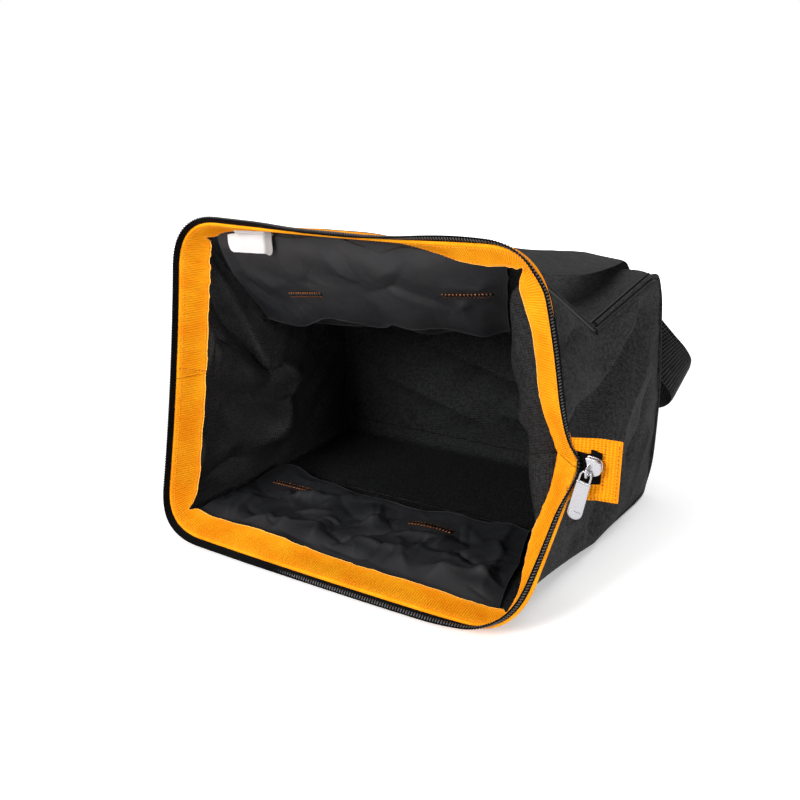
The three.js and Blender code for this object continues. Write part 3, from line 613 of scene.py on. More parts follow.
def shade(tree, shader, colour, pattern, low, high):
    """Base colour times a pattern from −1 to 1, drawn between two brightnesses. Each is a node and an output."""
    level = node(tree, "ShaderNodeMapRange", {"Value": pattern},
                 {"From Min": -1.0, "From Max": 1.0, "To Min": low, "To Max": high})
    shaded = node(tree, "ShaderNodeMix", {6: colour, 7: (level, "Result")}, {0: 1.0},
                  data_type="RGBA", blend_type="MULTIPLY")
    tree.links.new(shaded.outputs["Result"], shader.inputs["Base Color"])
    return shaded


def cloth_axes(tree, roll=0.0):
    """The cloth's own UV map, turned by an angle and split into its axes."""
    uv = node(tree, "ShaderNodeUVMap", uv_map="cloth")
    turned = node(tree, "ShaderNodeMapping", {"Vector": (uv, "UV")}, {"Rotation": (0, 0, roll)})
    return node(tree, "ShaderNodeSeparateXYZ", {"Vector": (turned, "Vector")})


def weave(tree, shader, pitch_u, pitch_v, depth_mm, roll=0.0):
    """Bump from two crossing sets of threads on the cloth's own UV map, pitches in millimetres."""
    split = cloth_axes(tree, roll)
    warp, weft = wave(tree, split, "X", pitch_u), wave(tree, split, "Y", pitch_v)
    both = node(tree, "ShaderNodeMath", {0: (warp, "Value"), 1: (weft, "Value")}, operation="MULTIPLY")
    bump = node(tree, "ShaderNodeBump", {"Height": (both, "Value")},
                {"Strength": 1.0, "Distance": depth_mm / 1000})
    tree.links.new(bump.outputs["Normal"], shader.inputs["Normal"])
    return bump, both


def more_bump(tree, bump, size_mm, depth_mm, detail=4):
    """A second bump under the weave: small cloth wrinkles of a size in millimetres, on Object coordinates."""
    coords = node(tree, "ShaderNodeTexCoord")
    noise = node(tree, "ShaderNodeTexNoise", {"Vector": (coords, "Object")},
                 {"Scale": 1000 / size_mm, "Detail": detail, "Distortion": 0.4})
    under = node(tree, "ShaderNodeBump", {"Height": (noise, "Fac")},
                 {"Strength": 1.0, "Distance": depth_mm / 1000})
    tree.links.new(under.outputs["Normal"], bump.inputs["Normal"])
    return coords


def oxford(name, dark, light, rough, gloss):
    """600D polyester oxford: dull, with a visible basket weave and uneven yarn, drawn 2.7 mm coarse to show."""
    material, tree, shader = start(name, Roughness=rough, Specular_IOR_Level=gloss)
    bump, both = weave(tree, shader, 2.7, 2.7, 0.3, math.radians(38))
    coords = more_bump(tree, bump, 26, 1.4)
    drift = tint(tree, shader, coords, 2.4, dark, light, 1)
    shade(tree, shader, (drift, "Color"), (both, "Value"), 0.72, 1.28)
    return material


def nylon_lining():
    """Black coated 210D nylon: smooth and slightly shiny, with fine soft creases."""
    material, tree, shader = start("coated_nylon_lining", Roughness=0.48, Specular_IOR_Level=0.2)
    bump, _ = weave(tree, shader, 1.2, 1.2, 0.02)
    coords = more_bump(tree, bump, 14, 0.4, 2)
    tint(tree, shader, coords, 40, "#212225", "#2B2C2E")
    return material


def orange_tape():
    """Orange ribbed polyester tape: matt, its ribs across its width every 2 mm with their grooves painted darker
    as shade, and a painted highlight about 1 mm wide along its inner edge."""
    material, tree, shader = start("orange_grosgrain_tape", Roughness=0.75, Specular_IOR_Level=0.1)
    bump, ribs = weave(tree, shader, 2.0, 60.0, 0.3)
    coords = more_bump(tree, bump, 12, 0.5)
    drift = tint(tree, shader, coords, 24, "#F89007", "#FFAA15")
    # Painted shade: the colour darkens in the ribs' grooves
    ribbed = shade(tree, shader, (drift, "Color"), (ribs, "Value"), 0.78, 1.06)
    # Painted highlight: a pale band about 1 mm wide along the tape's inner edge
    edge_highlight = node(tree, "ShaderNodeMapRange", {"Value": (cloth_axes(tree), "Y")},
                    {"From Min": 0.0002, "From Max": 0.0011, "To Min": 0.8, "To Max": 0.0})
    edge_highlighted = node(tree, "ShaderNodeMix", {0: (edge_highlight, "Result"), 6: (ribbed, "Result")},
                 {7: srgb("#FFC05C")}, data_type="RGBA")
    tree.links.new(edge_highlighted.outputs["Result"], shader.inputs["Base Color"])
    return material


def ribbed_tab():
    """The same orange tape folded double, its ribs running down the tab's outer part every 2.6 mm, their grooves
    painted darker as shade.
    """
    material, tree, shader = start("orange_ribbed_tab", Roughness=0.75, Specular_IOR_Level=0.1)
    coords = node(tree, "ShaderNodeTexCoord")
    split = node(tree, "ShaderNodeSeparateXYZ", {"Vector": (coords, "Object")})
    ribs, yarn = wave(tree, split, "X", 2.6), wave(tree, split, "Z", 1.9)
    both = node(tree, "ShaderNodeMath", {0: (ribs, "Value"), 1: (yarn, "Value")}, operation="ADD")
    bump = node(tree, "ShaderNodeBump", {"Height": (both, "Value")}, {"Strength": 1.0, "Distance": 0.0002})
    tree.links.new(bump.outputs["Normal"], shader.inputs["Normal"])
    drift = tint(tree, shader, coords, 25, "#FB9204", "#FFA010")
    # Painted shade: the colour darkens in the ribs' grooves
    shade(tree, shader, (drift, "Color"), (ribs, "Value"), 0.74, 1.08)
    return material


def zip_cloth():
    """Black woven zip tape, flat and dull."""
    material, tree, shader = start("woven_zip_tape", Roughness=0.9, Specular_IOR_Level=0.05)
    bump, _ = weave(tree, shader, 1.1, 1.6, 0.08, math.radians(45))
    coords = more_bump(tree, bump, 9, 0.2)
    tint(tree, shader, coords, 20, "#080809", "#0E0E0F")
    return material


def zip_coil():
    """Black nylon monofilament of the coil: smooth and glossy enough to glint, coloured mid grey as a painted
    sheen so that its turns show.
    """
    material, tree, shader = start("nylon_zip_coil", Roughness=0.28, Specular_IOR_Level=0.6)
    # Painted sheen: black nylon drawn mid grey
    tint(tree, shader, node(tree, "ShaderNodeTexCoord"), 8, "#3A3A3C", "#505052")
    return material


def webbing_cloth():
    """Black polypropylene webbing: ribs across its width every 3.1 mm and finer yarn along it, slightly
    shiny."""
    material, tree, shader = start("polypropylene_webbing", Roughness=0.6, Specular_IOR_Level=0.3)
    split = cloth_axes(tree)
    ribs, yarn = wave(tree, split, "X", 3.1), wave(tree, split, "Y", 2.4)
    both = node(tree, "ShaderNodeMath", {0: (yarn, "Value"), 2: (ribs, "Value")}, {1: 0.4},
                operation="MULTIPLY_ADD")
    bump = node(tree, "ShaderNodeBump", {"Height": (both, "Value")}, {"Strength": 1.0, "Distance": 0.0005})
    tree.links.new(bump.outputs["Normal"], shader.inputs["Normal"])
    coords = more_bump(tree, bump, 18, 0.5)
    drift = tint(tree, shader, coords, 9, "#1B1B1C", "#29292B")
    shade(tree, shader, (drift, "Color"), (both, "Value"), 0.55, 1.45)
    return material


def plated_zinc():
    """Nickel-plated zinc casting: bright, with faint tumbling marks just under 1 mm apart."""
    material, tree, shader = start("nickel_plated_zinc", Metallic=1.0, Base_Color=srgb("#BFBFC3"))
    coords = node(tree, "ShaderNodeTexCoord")
    noise = node(tree, "ShaderNodeTexNoise", {"Vector": (coords, "Object")}, {"Scale": 1200, "Detail": 3})
    rough = node(tree, "ShaderNodeMapRange", {"Value": (noise, "Fac")}, {"To Min": 0.2, "To Max": 0.38})
    tree.links.new(rough.outputs["Result"], shader.inputs["Roughness"])
    return material


def label_satin():
    """White woven satin label with fine level threads, whose curled right end is painted darker as shade."""
    material, tree, shader = start("white_satin_label", Roughness=0.45)
    bump, _ = weave(tree, shader, 40.0, 1.0, 0.05)
    coords = more_bump(tree, bump, 14, 0.3)
    drift = tint(tree, shader, coords, 18, "#C9C9CA", "#D8D8D9")
    # Painted shade: the curled right end, up to about 10 mm from it, is darker
    curled = node(tree, "ShaderNodeMapRange", {"Value": (cloth_axes(tree), "X")},
                  {"From Min": 0.0075, "From Max": 0.0105, "To Min": -1.0, "To Max": 1.0})
    shade(tree, shader, (drift, "Color"), (curled, "Result"), 0.45, 1.0)
    return material


def thread(name, dark, light):
    """Bonded polyester sewing thread with a slight twist sheen."""
    material, tree, shader = start(name, Roughness=0.5)
    tint(tree, shader, node(tree, "ShaderNodeTexCoord"), 4, dark, light)
    return material


OXFORD = oxford("polyester_oxford_600d", "#0F0F10", "#313132", 0.7, 0.25)
# The back of the weave for the walls' inside: duller, and darker than the face as painted shade inside the bag
OXFORD_BACK_SHADED = oxford("polyester_oxford_back_shaded", "#0C0C0D", "#232425", 0.65, 0.2)
# Painted light: a lighter copy of the back for the left end panel's inside, where more light falls
OXFORD_BACK_LIT = oxford("polyester_oxford_back_lit", "#202022", "#303133", 0.5, 0.25)
NYLON = nylon_lining()
ORANGE = orange_tape()
TAB_ORANGE = ribbed_tab()
ZIP_CLOTH = zip_cloth()
COIL = zip_coil()
WEBBING = webbing_cloth()
METAL = plated_zinc()
SATIN = label_satin()
ORANGE_THREAD = thread("orange_thread", "#5A2A10", "#B8692C")
# Black thread for the bar tacks, also used for the seams' lines of painted shadow
BLACK_THREAD_AND_SHADE = thread("black_thread_and_painted_shade", "#040404", "#0A0A0A")
TAPE_THREAD = thread("tape_thread", "#E48408", "#F59A18")
DARK_ORANGE_THREAD = thread("dark_orange_thread", "#A04A00", "#C86A00")


# Camera, light and floor

AMBIENT = 0.28
# Soft boxes: place and aim in metres, side in metres, power in watts
LIGHTS = [
    ("overhead", (0.1, 0.3, 2.2), (0, 0, 0.1), 2.0, 30),
    ("front", (-0.55, -1.75, 1.0), (-0.02, -0.1, 0.1), 0.7, 36),
    ("right", (1.9, -1.1, 0.9), (-0.1, -0.15, 0.12), 0.6, 16),
]
# The floor in metres: half its side, and where its glow starts and ends to grow from one strength to the other
FLOOR_HALF = 9.0
GLOW_FROM, GLOW_TO = 0.35, 0.9
GLOW_NEAR, GLOW_FAR = 0.3, 1.05


def white_paper():
    """White seamless paper that glows more with distance, so that no horizon shows."""
    material, tree, shader = start("white_floor", Roughness=0.9, Specular_IOR_Level=0.0,
                                   Base_Color=srgb("#F8F8F8"), Emission_Color=(1, 1, 1, 1))
    coords = node(tree, "ShaderNodeTexCoord")
    far = node(tree, "ShaderNodeVectorMath", {0: (coords, "Object")}, operation="LENGTH")
    glow = node(tree, "ShaderNodeMapRange", {"Value": (far, "Value")},
                {"From Min": GLOW_FROM, "From Max": GLOW_TO, "To Min": GLOW_NEAR, "To Max": GLOW_FAR},
                interpolation_type="SMOOTHSTEP")
    seen = node(tree, "ShaderNodeLightPath")
    strength = node(tree, "ShaderNodeMath", {0: (glow, "Result"), 1: (seen, "Is Camera Ray")},
                    operation="MULTIPLY")
    tree.links.new(strength.outputs["Value"], shader.inputs["Emission Strength"])
    return material


def studio_world():
    """White all round, at full strength to the camera and dimmer as light."""
    world = bpy.data.worlds.new("studio")
    world.use_nodes = True
    background = world.node_tree.nodes["Background"]
    background.inputs["Color"].default_value = (1, 1, 1, 1)
    seen = node(world.node_tree, "ShaderNodeLightPath")
    share = node(world.node_tree, "ShaderNodeMapRange", {"Value": (seen, "Is Camera Ray")},
                 {"To Min": AMBIENT, "To Max": 1.0})
    world.node_tree.links.new(share.outputs["Result"], background.inputs["Strength"])
    return world


def stage():
    """The camera at the photograph's angle, a white studio and a pale floor."""
    scene = bpy.context.scene
    data = bpy.data.cameras.new("camera")
    data.lens = CAMERA_LENS
    data.sensor_width = CAMERA_SENSOR
    data.clip_start = 0.01
    camera = bpy.data.objects.new("camera", data)
    camera.location = place(CAMERA_AT)
    camera.rotation_euler = (math.radians(CAMERA_PITCH), 0, math.radians(CAMERA_HEADING))
    scene.collection.objects.link(camera)
    scene.camera = camera
    scene.view_settings.view_transform = "Standard"
    scene.world = studio_world()
    for name, at, aim, size, power in LIGHTS:
        lamp = bpy.data.lights.new(name, "AREA")
        lamp.size = size
        lamp.energy = power
        holder = bpy.data.objects.new(name, lamp)
        holder.location = at
        x, y, z = np.subtract(aim, at)
        holder.rotation_euler = (math.pi / 2 + math.atan2(z, math.hypot(x, y)), 0, math.atan2(-x, y))
        scene.collection.objects.link(holder)
    mesh = bpy.data.meshes.new("floor")
    corners = [(x * FLOOR_HALF, y * FLOOR_HALF, 0) for x, y in ((-1, -1), (1, -1), (1, 1), (-1, 1))]
    mesh.from_pydata(corners, [], [(0, 1, 2, 3)])
    mesh.materials.append(white_paper())
    floor = bpy.data.objects.new("floor", mesh)
    scene.collection.objects.link(floor)


# Cloth walls

# Distance between the wall's points
FINE = 1.9
# Wall pieces: side, first and last level, crumple's height and size, seed, material slot
WALLS = {
    "upper_flap": (TOP, 0.2, 3, 0.2, 40, 3, "nylon"),
    "lower_flap": (BOTTOM, 0.2, 3, 0.2, 50, 4, "nylon"),
    "upper_panel": (TOP, 3, 5, 0.9, 45, 5, "polyester"),
    "lower_panel": (BOTTOM, 3, 5, 0.3, 45, 6, "polyester"),
    "right_end_panel": (RIGHT, 0.2, 5, 1.5, 42, 7, "polyester"),
    "left_end_panel": (LEFT, 0.2, 5, 2.2, 38, 8, "polyester"),
}
WRINKLE_EDGE = 0.08


def wall_grid(side, v_from, v_to):
    """A fine grid on one side of the wall: shares and levels, about FINE millimetres apart."""
    shares = steps(0.0, 1.0, FINE / SIDE_LENGTH[side])
    depths = steps(depth_at(v_from), depth_at(v_to), FINE)
    return np.meshgrid(shares, np.interp(depths, LEVEL_DEPTH, range(len(LEVEL_DEPTH))))


def wrinkled(side, s, v, amount, size, seed):
    """The wall moved along its normal by creases that vanish at the side's edges, under the tape and at the
    base."""
    points = wall(side, s, v)
    edge = smooth(s / WRINKLE_EDGE) * smooth((1 - s) / WRINKLE_EDGE)
    keep = edge * smooth((v - 1) / 0.3) * smooth((5 - v) / 0.7)
    height = amount * crumple(*laid_flat(side, s, v), size, seed) + crease_height(side, s, v)
    return points + grid_normal(points) * (keep * height)[..., None]


def cloth_walls():
    """Flaps, long panels and end panels, each a wall of cloth with the duller back of its weave inside, painted
    darker as shade, and painted lighter as light on the left end panel.
    """
    for name, (side, low, high, amount, size, seed, slot) in WALLS.items():
        s, v = wall_grid(side, low, high)
        outer = wrinkled(side, s, v, amount, size, seed)
        inner = outer - grid_normal(outer) * CLOTH
        # Painted light: the left end panel's inside gets the lighter copy of the back, the others the darker one
        # as painted shade
        inside = OXFORD_BACK_LIT if side == LEFT else OXFORD_BACK_SHADED
        shell(name + "_cloth", outer, inner, OXFORD, nodes=[name], slot=slot, inside=inside)


# Share of the base's width over which it is drawn to each end panel
BASE_TUCK = 0.01
BASE_SIZE = (320, 200)
BASE_STEPS = (0.005, 0.008)
# The base's crumple: height, size, seed
BASE_CRUMPLE = (2.6, 60, 9)
# Soft folds of the base: from (share across, share up), to, height
BASE_FOLDS = [
    ((0.15, 0.30), (0.45, 0.14), 11),
    ((0.30, 0.55), (0.72, 0.34), 8),
    ((0.55, 0.20), (0.97, 0.16), 11),
]
BASE_FOLD_WIDTH = 14


def base_wall():
    """The base: straight between the lower and upper panels' ends, drawn to the end panels in its last
    columns, with a slight belly and creases."""
    s, t = np.meshgrid(steps(0, 1, BASE_STEPS[0]), steps(0, 1, BASE_STEPS[1]))
    last = np.full(s.shape, 5.0)
    inner_s = np.clip(s, BASE_TUCK, 1 - BASE_TUCK)
    low = wall(BOTTOM, inner_s, last)
    points = low + (wall(TOP, 1 - inner_s, last) - low) * t[..., None]
    left = wall(LEFT, 1 - t, last) - OUTWARD[LEFT] * CLOTH / 2
    right = wall(RIGHT, t, last) - OUTWARD[RIGHT] * CLOTH / 2
    points = points + (left - points) * np.clip(1 - s / BASE_TUCK, 0, 1)[..., None]
    points = points + (right - points) * np.clip((s - 1 + BASE_TUCK) / BASE_TUCK, 0, 1)[..., None]
    keep = np.sin(math.pi * t) * np.sin(math.pi * s)
    x, y = s * BASE_SIZE[0], t * BASE_SIZE[1]
    amount, size, seed = BASE_CRUMPLE
    points[..., 1] += keep * (BASE_BELLY + amount * crumple(x, y, size, seed))
    for first, end, rise in BASE_FOLDS:
        _, away = from_line(x, y, np.multiply(first, BASE_SIZE), np.multiply(end, BASE_SIZE))
        points[..., 1] -= rise * keep * np.exp(-away / BASE_FOLD_WIDTH)
    # Its inside takes the back of the weave, drawn darker as painted shade
    shell("base_panel_cloth", points, points - AXIS_Y * CLOTH, OXFORD, nodes=["base_panel"], slot="polyester",
          inside=OXFORD_BACK_SHADED)


# Linings

# Each lining: its side, its share at the far edge, its seed
LININGS = {"upper_lining": (TOP, 0.965, 11), "lower_lining": (BOTTOM, 0.03, 12)}
LINING_STEPS = (0.0045, 0.011)
LINING_TOP = 0.75
LINING_END = 2.95
LINING_GAP = 0.4
# The levels over which each lining comes loose below the tape
SLACK = {TOP: 1.2, BOTTOM: 0.5}
# The linings' broad crumple: height, size
LINING_CRUMPLE = (1.2, 46)
# Each lining's short creases: number, then half length, width and height, each from and to in millimetres
SHORT_CREASES = {
    TOP: (22, (22, 55), (8, 14), (1.6, 3.4)),
    BOTTOM: (110, (12, 40), (1.8, 4.4), (1.4, 3.8)),
}
RIDGE_SHARE = 0.6
# Bar tacks on the linings: side, seed, from (share, level) to (share, level)
TACKS = [
    (TOP, 11, (0.690, 2.36), (0.800, 2.42)), (TOP, 11, (0.165, 2.24), (0.295, 2.22)),
    (BOTTOM, 12, (0.096, 2.59), (0.219, 2.56)), (BOTTOM, 12, (0.568, 2.45), (0.682, 2.48)),
]
# The flat patch round each bar tack: half its length and height
TACK_PATCH = (30, 11)
# The linings' free edges: level, share along the side
FREE_EDGES = {
    TOP: np.array([(0.75, 0.05), (1.84, 0.088), (2.3, 0.129), (3.0, 0.223)]),
    BOTTOM: np.array([(0.75, 0.962), (1.2, 0.955), (2.3, 0.905), (2.92, 0.84)]),
}
# The two wavy hems: share along the side, level
HEMS = {
    TOP: np.array([
        (0.0, 2.95), (0.22, 2.98), (0.30, 2.90), (0.38, 2.84), (0.45, 2.76), (0.50, 2.72), (0.55, 2.90),
        (0.59, 2.96), (0.64, 2.80), (0.70, 2.76), (0.78, 2.84), (0.84, 2.92), (0.92, 2.95), (1.0, 2.86),
    ]),
    BOTTOM: np.array([
        (0.0, 2.92), (0.10, 2.95), (0.16, 2.88), (0.22, 2.82), (0.30, 2.78), (0.42, 2.71), (0.54, 2.74),
        (0.68, 2.79), (0.84, 2.90), (1.0, 2.95),
    ]),
}
HEM_BLUR = 0.025


def hem_level(side, s):
    """The level of a lining's hem."""
    return blurred(s, HEMS[side], 1, HEM_BLUR)


def scattered(side, seed, x, y):
    """Short creases at seeded places and angles, each a ridge or valley with a sharp middle that fades at both
    ends, and none across a bar tack."""
    rng = np.random.default_rng(seed + 200)
    count, reaches, widths, heights = SHORT_CREASES[side]
    height = 0 * x
    for _ in range(count):
        middle = np.array([rng.uniform(0, SIDE_LENGTH[side]), rng.uniform(LEVEL_DEPTH[1], LEVEL_DEPTH[3])])
        angle = rng.uniform(0, math.pi)
        half, width = rng.uniform(*reaches), rng.uniform(*widths)
        rise = rng.uniform(*heights) * (1 if rng.uniform() < RIDGE_SHARE else -1)
        arm = half * np.array([math.cos(angle), math.sin(angle)])
        t, away = from_line(x, y, middle - arm, middle + arm)
        height = height + rise * 4 * t * (1 - t) * np.exp(-(np.sqrt(away ** 2 + 1) - 1) / width)
    for on, _, first, last in TACKS:
        if on == side:
            tack_x, tack_y = laid_flat(side, *np.mean([first, last], axis=0))
            apart = ((x - tack_x) / TACK_PATCH[0]) ** 2 + ((y - tack_y) / TACK_PATCH[1]) ** 2
            height = height * (1 - np.exp(-apart ** 2))
    return height


def lining_face(side, seed, s, v):
    """A lining's outer face: the wall moved in by a clearance, by creases below the tape that fade at its hem,
    and by a stand-off that grows towards the hem and is less at its free edge."""
    ahead = wall(side, np.minimum(s + 0.003, 0.999), v) - wall(side, np.maximum(s - 0.003, 0.001), v)
    down = wall(side, s, v + 0.02) - wall(side, s, v - 0.02)
    normal = unit(np.cross(down, ahead))
    x, y = laid_flat(side, s, v)
    below = (v - 1) / (hem_level(side, s) - 1)
    amount, size = LINING_CRUMPLE
    creases = amount * crumple(x, y, size, seed)
    creases = creases + scattered(side, seed, x, y) * smooth((1.05 - below) / 0.3)
    loose = smooth((v - 1.1) / SLACK[side]) * np.maximum(3.0 + creases, 0.2)
    hang = 1.6 * smooth((below - 0.7) / 0.3) * (1 + np.sin(s * 33 + seed))
    settled = 0.2 + 0.8 * smooth(np.abs(s - np.interp(v, *FREE_EDGES[side].T)) / 0.07)
    stand_off = 1.7 * smooth((v - 0.98) / 0.8) + settled * (1.3 * loose + hang)
    return wall(side, s, v) - normal * (CLOTH + LINING_GAP + stand_off)[..., None]


def linings():
    """The loose linings inside the flaps, from under the tape to their wavy hems."""
    for name, (side, other, seed) in LININGS.items():
        r, t = np.meshgrid(steps(0, 1, LINING_STEPS[0]), steps(0, 1, LINING_STEPS[1]))
        first = np.interp(LINING_TOP + (LINING_END - LINING_TOP) * t, *FREE_EDGES[side].T)
        s = first + (other - first) * r
        v = LINING_TOP + (hem_level(side, s) - LINING_TOP) * t
        outer = lining_face(side, seed, s, v)
        normal = grid_normal(outer)
        normal = normal * np.sign((normal * OUTWARD[side]).sum(-1, keepdims=True))
        shell(name + "_cloth", outer, outer - normal * LINING, NYLON, nodes=[name], slot="nylon")


# The mouth's tape and zip

# How far the tape's inner face and its outer lip lie inside and outside the rim
TAPE_DEPTH = 2.45
LIP_OUT = 0.65
# Distance between the tape's points along the rim, and its rows on the inner face, the edge and the lip
RIM_STEP = 1.2
FACE_ROWS, TURN_ROWS, LIP_ROWS = 26, 7, 6
# The left join: gap between the tapes, length folded double, skew across the tape, height of the double
JOIN_GAP = 0.4
SEAM_FOLD = 13.0
JOIN_SKEW = 6.5
JOIN_RISE = 0.8
# The tape is gathered below the mouth's upper left corner: place, reach, height, distance between gathers
GATHER_AT = 3.17
GATHER_REACH = 0.12
GATHER_RISE = 2.4
GATHER_PITCH = 13
# The tape's inner edge stops short of the wall's fold along the upper side
EDGE_SHORT = 2.4
# Round the mouth: place, length of the tape's outer lip
LIPS = np.array([
    (0, 7), (0.8, 8), (0.9, 13), (1.06, 13), (1.15, 4), (1.4, 4), (1.5, 5), (1.56, 1.5), (1.9, 1.5),
    (1.96, 9), (2.1, 9), (2.2, 10), (2.75, 10), (2.9, 6), (4, 7),
])
# Round the mouth: place, how far outside the tape's middle the zip is sewn
ZIP_ROOTS = np.array([
    (0, -0.9), (1.1, -0.9), (1.2, 0.2), (1.4, 0.2), (1.5, 0.6), (1.58, 1.7), (1.9, 1.7), (1.96, -0.9),
    (4, -0.9),
])
# Round the mouth: place, how far the coil lies towards the zip tape's outer face, away from the mouth
COIL_BACK = np.array([(0, 1.5), (0.28, 1.5), (0.5, 0), (2.3, 0), (2.5, 1.5), (4, 1.5)])
# The zip tape's start and end from the rim, half its thickness, and the coil's place on it
ZIP_TAPE = (0.2, 7.8)
ZIP_TAPE_HALF = 0.45
COIL_AT = 5.4
# Half sizes of a turn of the coil: along the rim as a share of its pitch, through the tape, and across it
COIL_TURN = (0.28, 1.4, 2.0)
# Rows of stitches along the tape: inset, measured from the rim or from the inner edge
TAPE_ROWS = [(2.4, False), (2.6, True)]
STITCH_PITCH = 3.2


def rim_places(u_from, u_to, step_mm):
    """Places along the rim, evenly spaced in millimetres, both ends included."""
    rough = np.linspace(u_from, u_to, 1600)
    run = distances(loop_point(SECTIONS["rim"], rough % 4))
    return np.interp(steps(0, run[-1], step_mm), run, rough)


def tape_lift(u, across):
    """How far the tape's inner face stands off the wall: puckers that grow towards its inner edge, gathers below
    the upper left corner and a doubled stretch at the left join."""
    x = u % 4 * 280
    pucker = crumple(x, 0 * x, 30, 21) + 0.8 * crumple(x, 0 * x + 9, 13, 22)
    inward = np.clip(across / TAPE_WIDTH, 0, 1)
    before = (ZIP_START_U - u % 4) * SIDE_LENGTH[LEFT] - JOIN_SKEW * (1 - inward)
    doubled = JOIN_RISE * smooth((SEAM_FOLD - before) / 1.5) * (before > 0)
    gather = np.maximum(np.sin(2 * math.pi * (x / GATHER_PITCH - across / 40)), 0)
    gathers = GATHER_RISE * bell(u % 4 - GATHER_AT, GATHER_REACH) * gather * inward
    return 0.9 * np.maximum(pucker, 0) * inward ** 2 + gathers + doubled


def tape_edge(u):
    """The distance of the tape's inner edge from the rim."""
    return tape_width(u) - EDGE_SHORT * smooth((u % 4 - 2.2) / 0.2) * smooth((2.98 - u % 4) / 0.1)


def mouth_tape(name, u_from, u_to):
    """Tape folded over the rim: a wide inner face, a half round over the edge and a narrow outer lip."""
    u = rim_places(u_from, u_to, RIM_STEP)
    along = np.arange(len(u)) * RIM_STEP
    u = np.interp(np.linspace(JOIN_GAP / 2, along[-1] - JOIN_GAP / 2, len(u)), along, u)
    rim, _, tape_dir, _, normal = rim_frame(u % 4)
    turn_r = (TAPE_DEPTH + LIP_OUT) / 2
    turn = np.linspace(0, math.pi, TURN_ROWS + 2)[1:-1]
    across = np.concatenate([
        tape_edge(u) * np.linspace(1, 0, FACE_ROWS)[:, None],
        -0.6 * turn_r * np.sin(turn)[:, None] + 0 * u,
        np.interp(u % 4, *LIPS.T) * np.linspace(0, 1, LIP_ROWS)[:, None],
    ])
    out = np.concatenate([
        np.full(FACE_ROWS, -TAPE_DEPTH),
        (LIP_OUT - TAPE_DEPTH) / 2 - turn_r * np.cos(turn),
        np.full(LIP_ROWS, LIP_OUT),
    ])[:, None]
    out = out - tape_lift(u[None], across) * (out < 0)
    points = rim + tape_dir * across[..., None] + normal * out[..., None]
    half = grid_normal(points) * (TAPE_THICK / 2)
    shell(name + "_cloth", points + half, points - half, ORANGE, nodes=[name], slot="orange_tape")


def tape_stitches():
    """Rows of stitches along the tape near its inner edge and near the rim, and one across its left join."""
    places, ahead, up = [], [], []
    surface = TAPE_DEPTH + TAPE_THICK / 2
    u = rim_places(0.0, 3.999, STITCH_PITCH)
    rim, along, tape_dir, _, normal = rim_frame(u)
    for inset, from_rim in TAPE_ROWS:
        at = np.full(len(u), inset) if from_rim else tape_edge(u) - inset
        raised = surface + 0.1 + tape_lift(u, at)
        places.append(rim + tape_dir * at[:, None] - normal * raised[:, None])
        ahead.append(along)
        up.append(-normal)
    stitches("tape_stitches", np.concatenate(places), np.concatenate(ahead), np.concatenate(up), 2.3, 0.3,
             TAPE_THREAD, "orange_tape")
    at = np.linspace(0.5, 24, 9)
    u = ZIP_START_U - 0.006 - JOIN_SKEW / SIDE_LENGTH[LEFT] * (1 - at / TAPE_WIDTH)
    rim, _, tape_dir, _, normal = rim_frame(u)
    row = rim + tape_dir * at[:, None] - normal * (surface + JOIN_RISE + 0.05)
    stitches("join_stitches", row, tape_dir, -normal, 2.2, 0.4, DARK_ORANGE_THREAD, "orange_tape")


def zip_lines(u):
    """The zip's sewn edge, the rim's direction, the zip tape's direction and its outer normal."""
    rim, along, _, zip_dir, normal = rim_frame(u % 4)
    root = rim + normal * np.interp(u % 4, *ZIP_ROOTS.T)[:, None]
    return root, along, zip_dir, unit(np.cross(along, zip_dir))


def zip_half(name, u_from, u_to):
    """Zip tape standing from the rim, and the coil: a bead across its free edge every pitch."""
    root, _, zip_dir, outer = zip_lines(rim_places(u_from, u_to - 0.0008, RIM_STEP))
    points = root + zip_dir * np.linspace(*ZIP_TAPE, 8)[:, None, None]
    half = outer * ZIP_TAPE_HALF
    shell(name + "_tape", points + half, points - half, ZIP_CLOTH, nodes=[name + "_chain"], slot="zip")
    u = rim_places(u_from, u_to, COIL_PITCH)
    root, along, zip_dir, outer = zip_lines(u)
    centre = root + zip_dir * COIL_AT + outer * np.interp(u % 4, *COIL_BACK.T)[:, None]
    ahead, through, across = COIL_TURN
    axes = np.stack([along * COIL_PITCH * ahead, outer * through, zip_dir * across], 1)
    many(name + "_coil", *bead(8, 6), centre, axes, COIL, slot="zip")


def mouth():
    """The upper and the lower half of the mouth's tape and zip, which meet at the zip's end and start."""
    upper, lower = (ZIP_END_U, ZIP_START_U), (ZIP_START_U - 4, ZIP_END_U)
    mouth_tape("upper_mouth_tape", *upper)
    mouth_tape("lower_mouth_tape", *lower)
    zip_half("upper_zip", *upper)
    zip_half("lower_zip", *lower)
    tape_stitches()


# Piping

# How far the piping is sunk in the seam, and how far it leans from behind the base to the end panel
PIPING_SUNK = 0.5
EDGE_LEAN = 0.35
# Levels along the end panel's corners, and shares down the base's edge
PIPING_LEVELS = np.array([3.05, 3.35, 3.65, 3.9, 4.25, 4.6])
PIPING_SHARES = np.array([0.07, 0.25, 0.5, 0.75, 0.93])
# Steps along the piping, and where it starts to thin, over how many steps and by what share
PIPING_STEPS = 260
PIPING_THINS = (200, 50, 0.85)
# Each piping: its end, and the shares of the upper and lower sides at its corners
PIPINGS = {"right_piping": (RIGHT, 0.0, 0.995), "left_piping": (LEFT, 0.995, 0.0)}


def piping_corner(side, on, s):
    """Points along an end panel's upper or lower corner, leaning out of both sides and then out of the base."""
    lean = OUTWARD[side] + OUTWARD[on] + 2 * AXIS_Y * np.maximum(PIPING_LEVELS - 4, 0)[:, None]
    return wall(on, np.full(len(PIPING_LEVELS), s), PIPING_LEVELS) + unit(lean) * (PIPING_R - PIPING_SUNK)


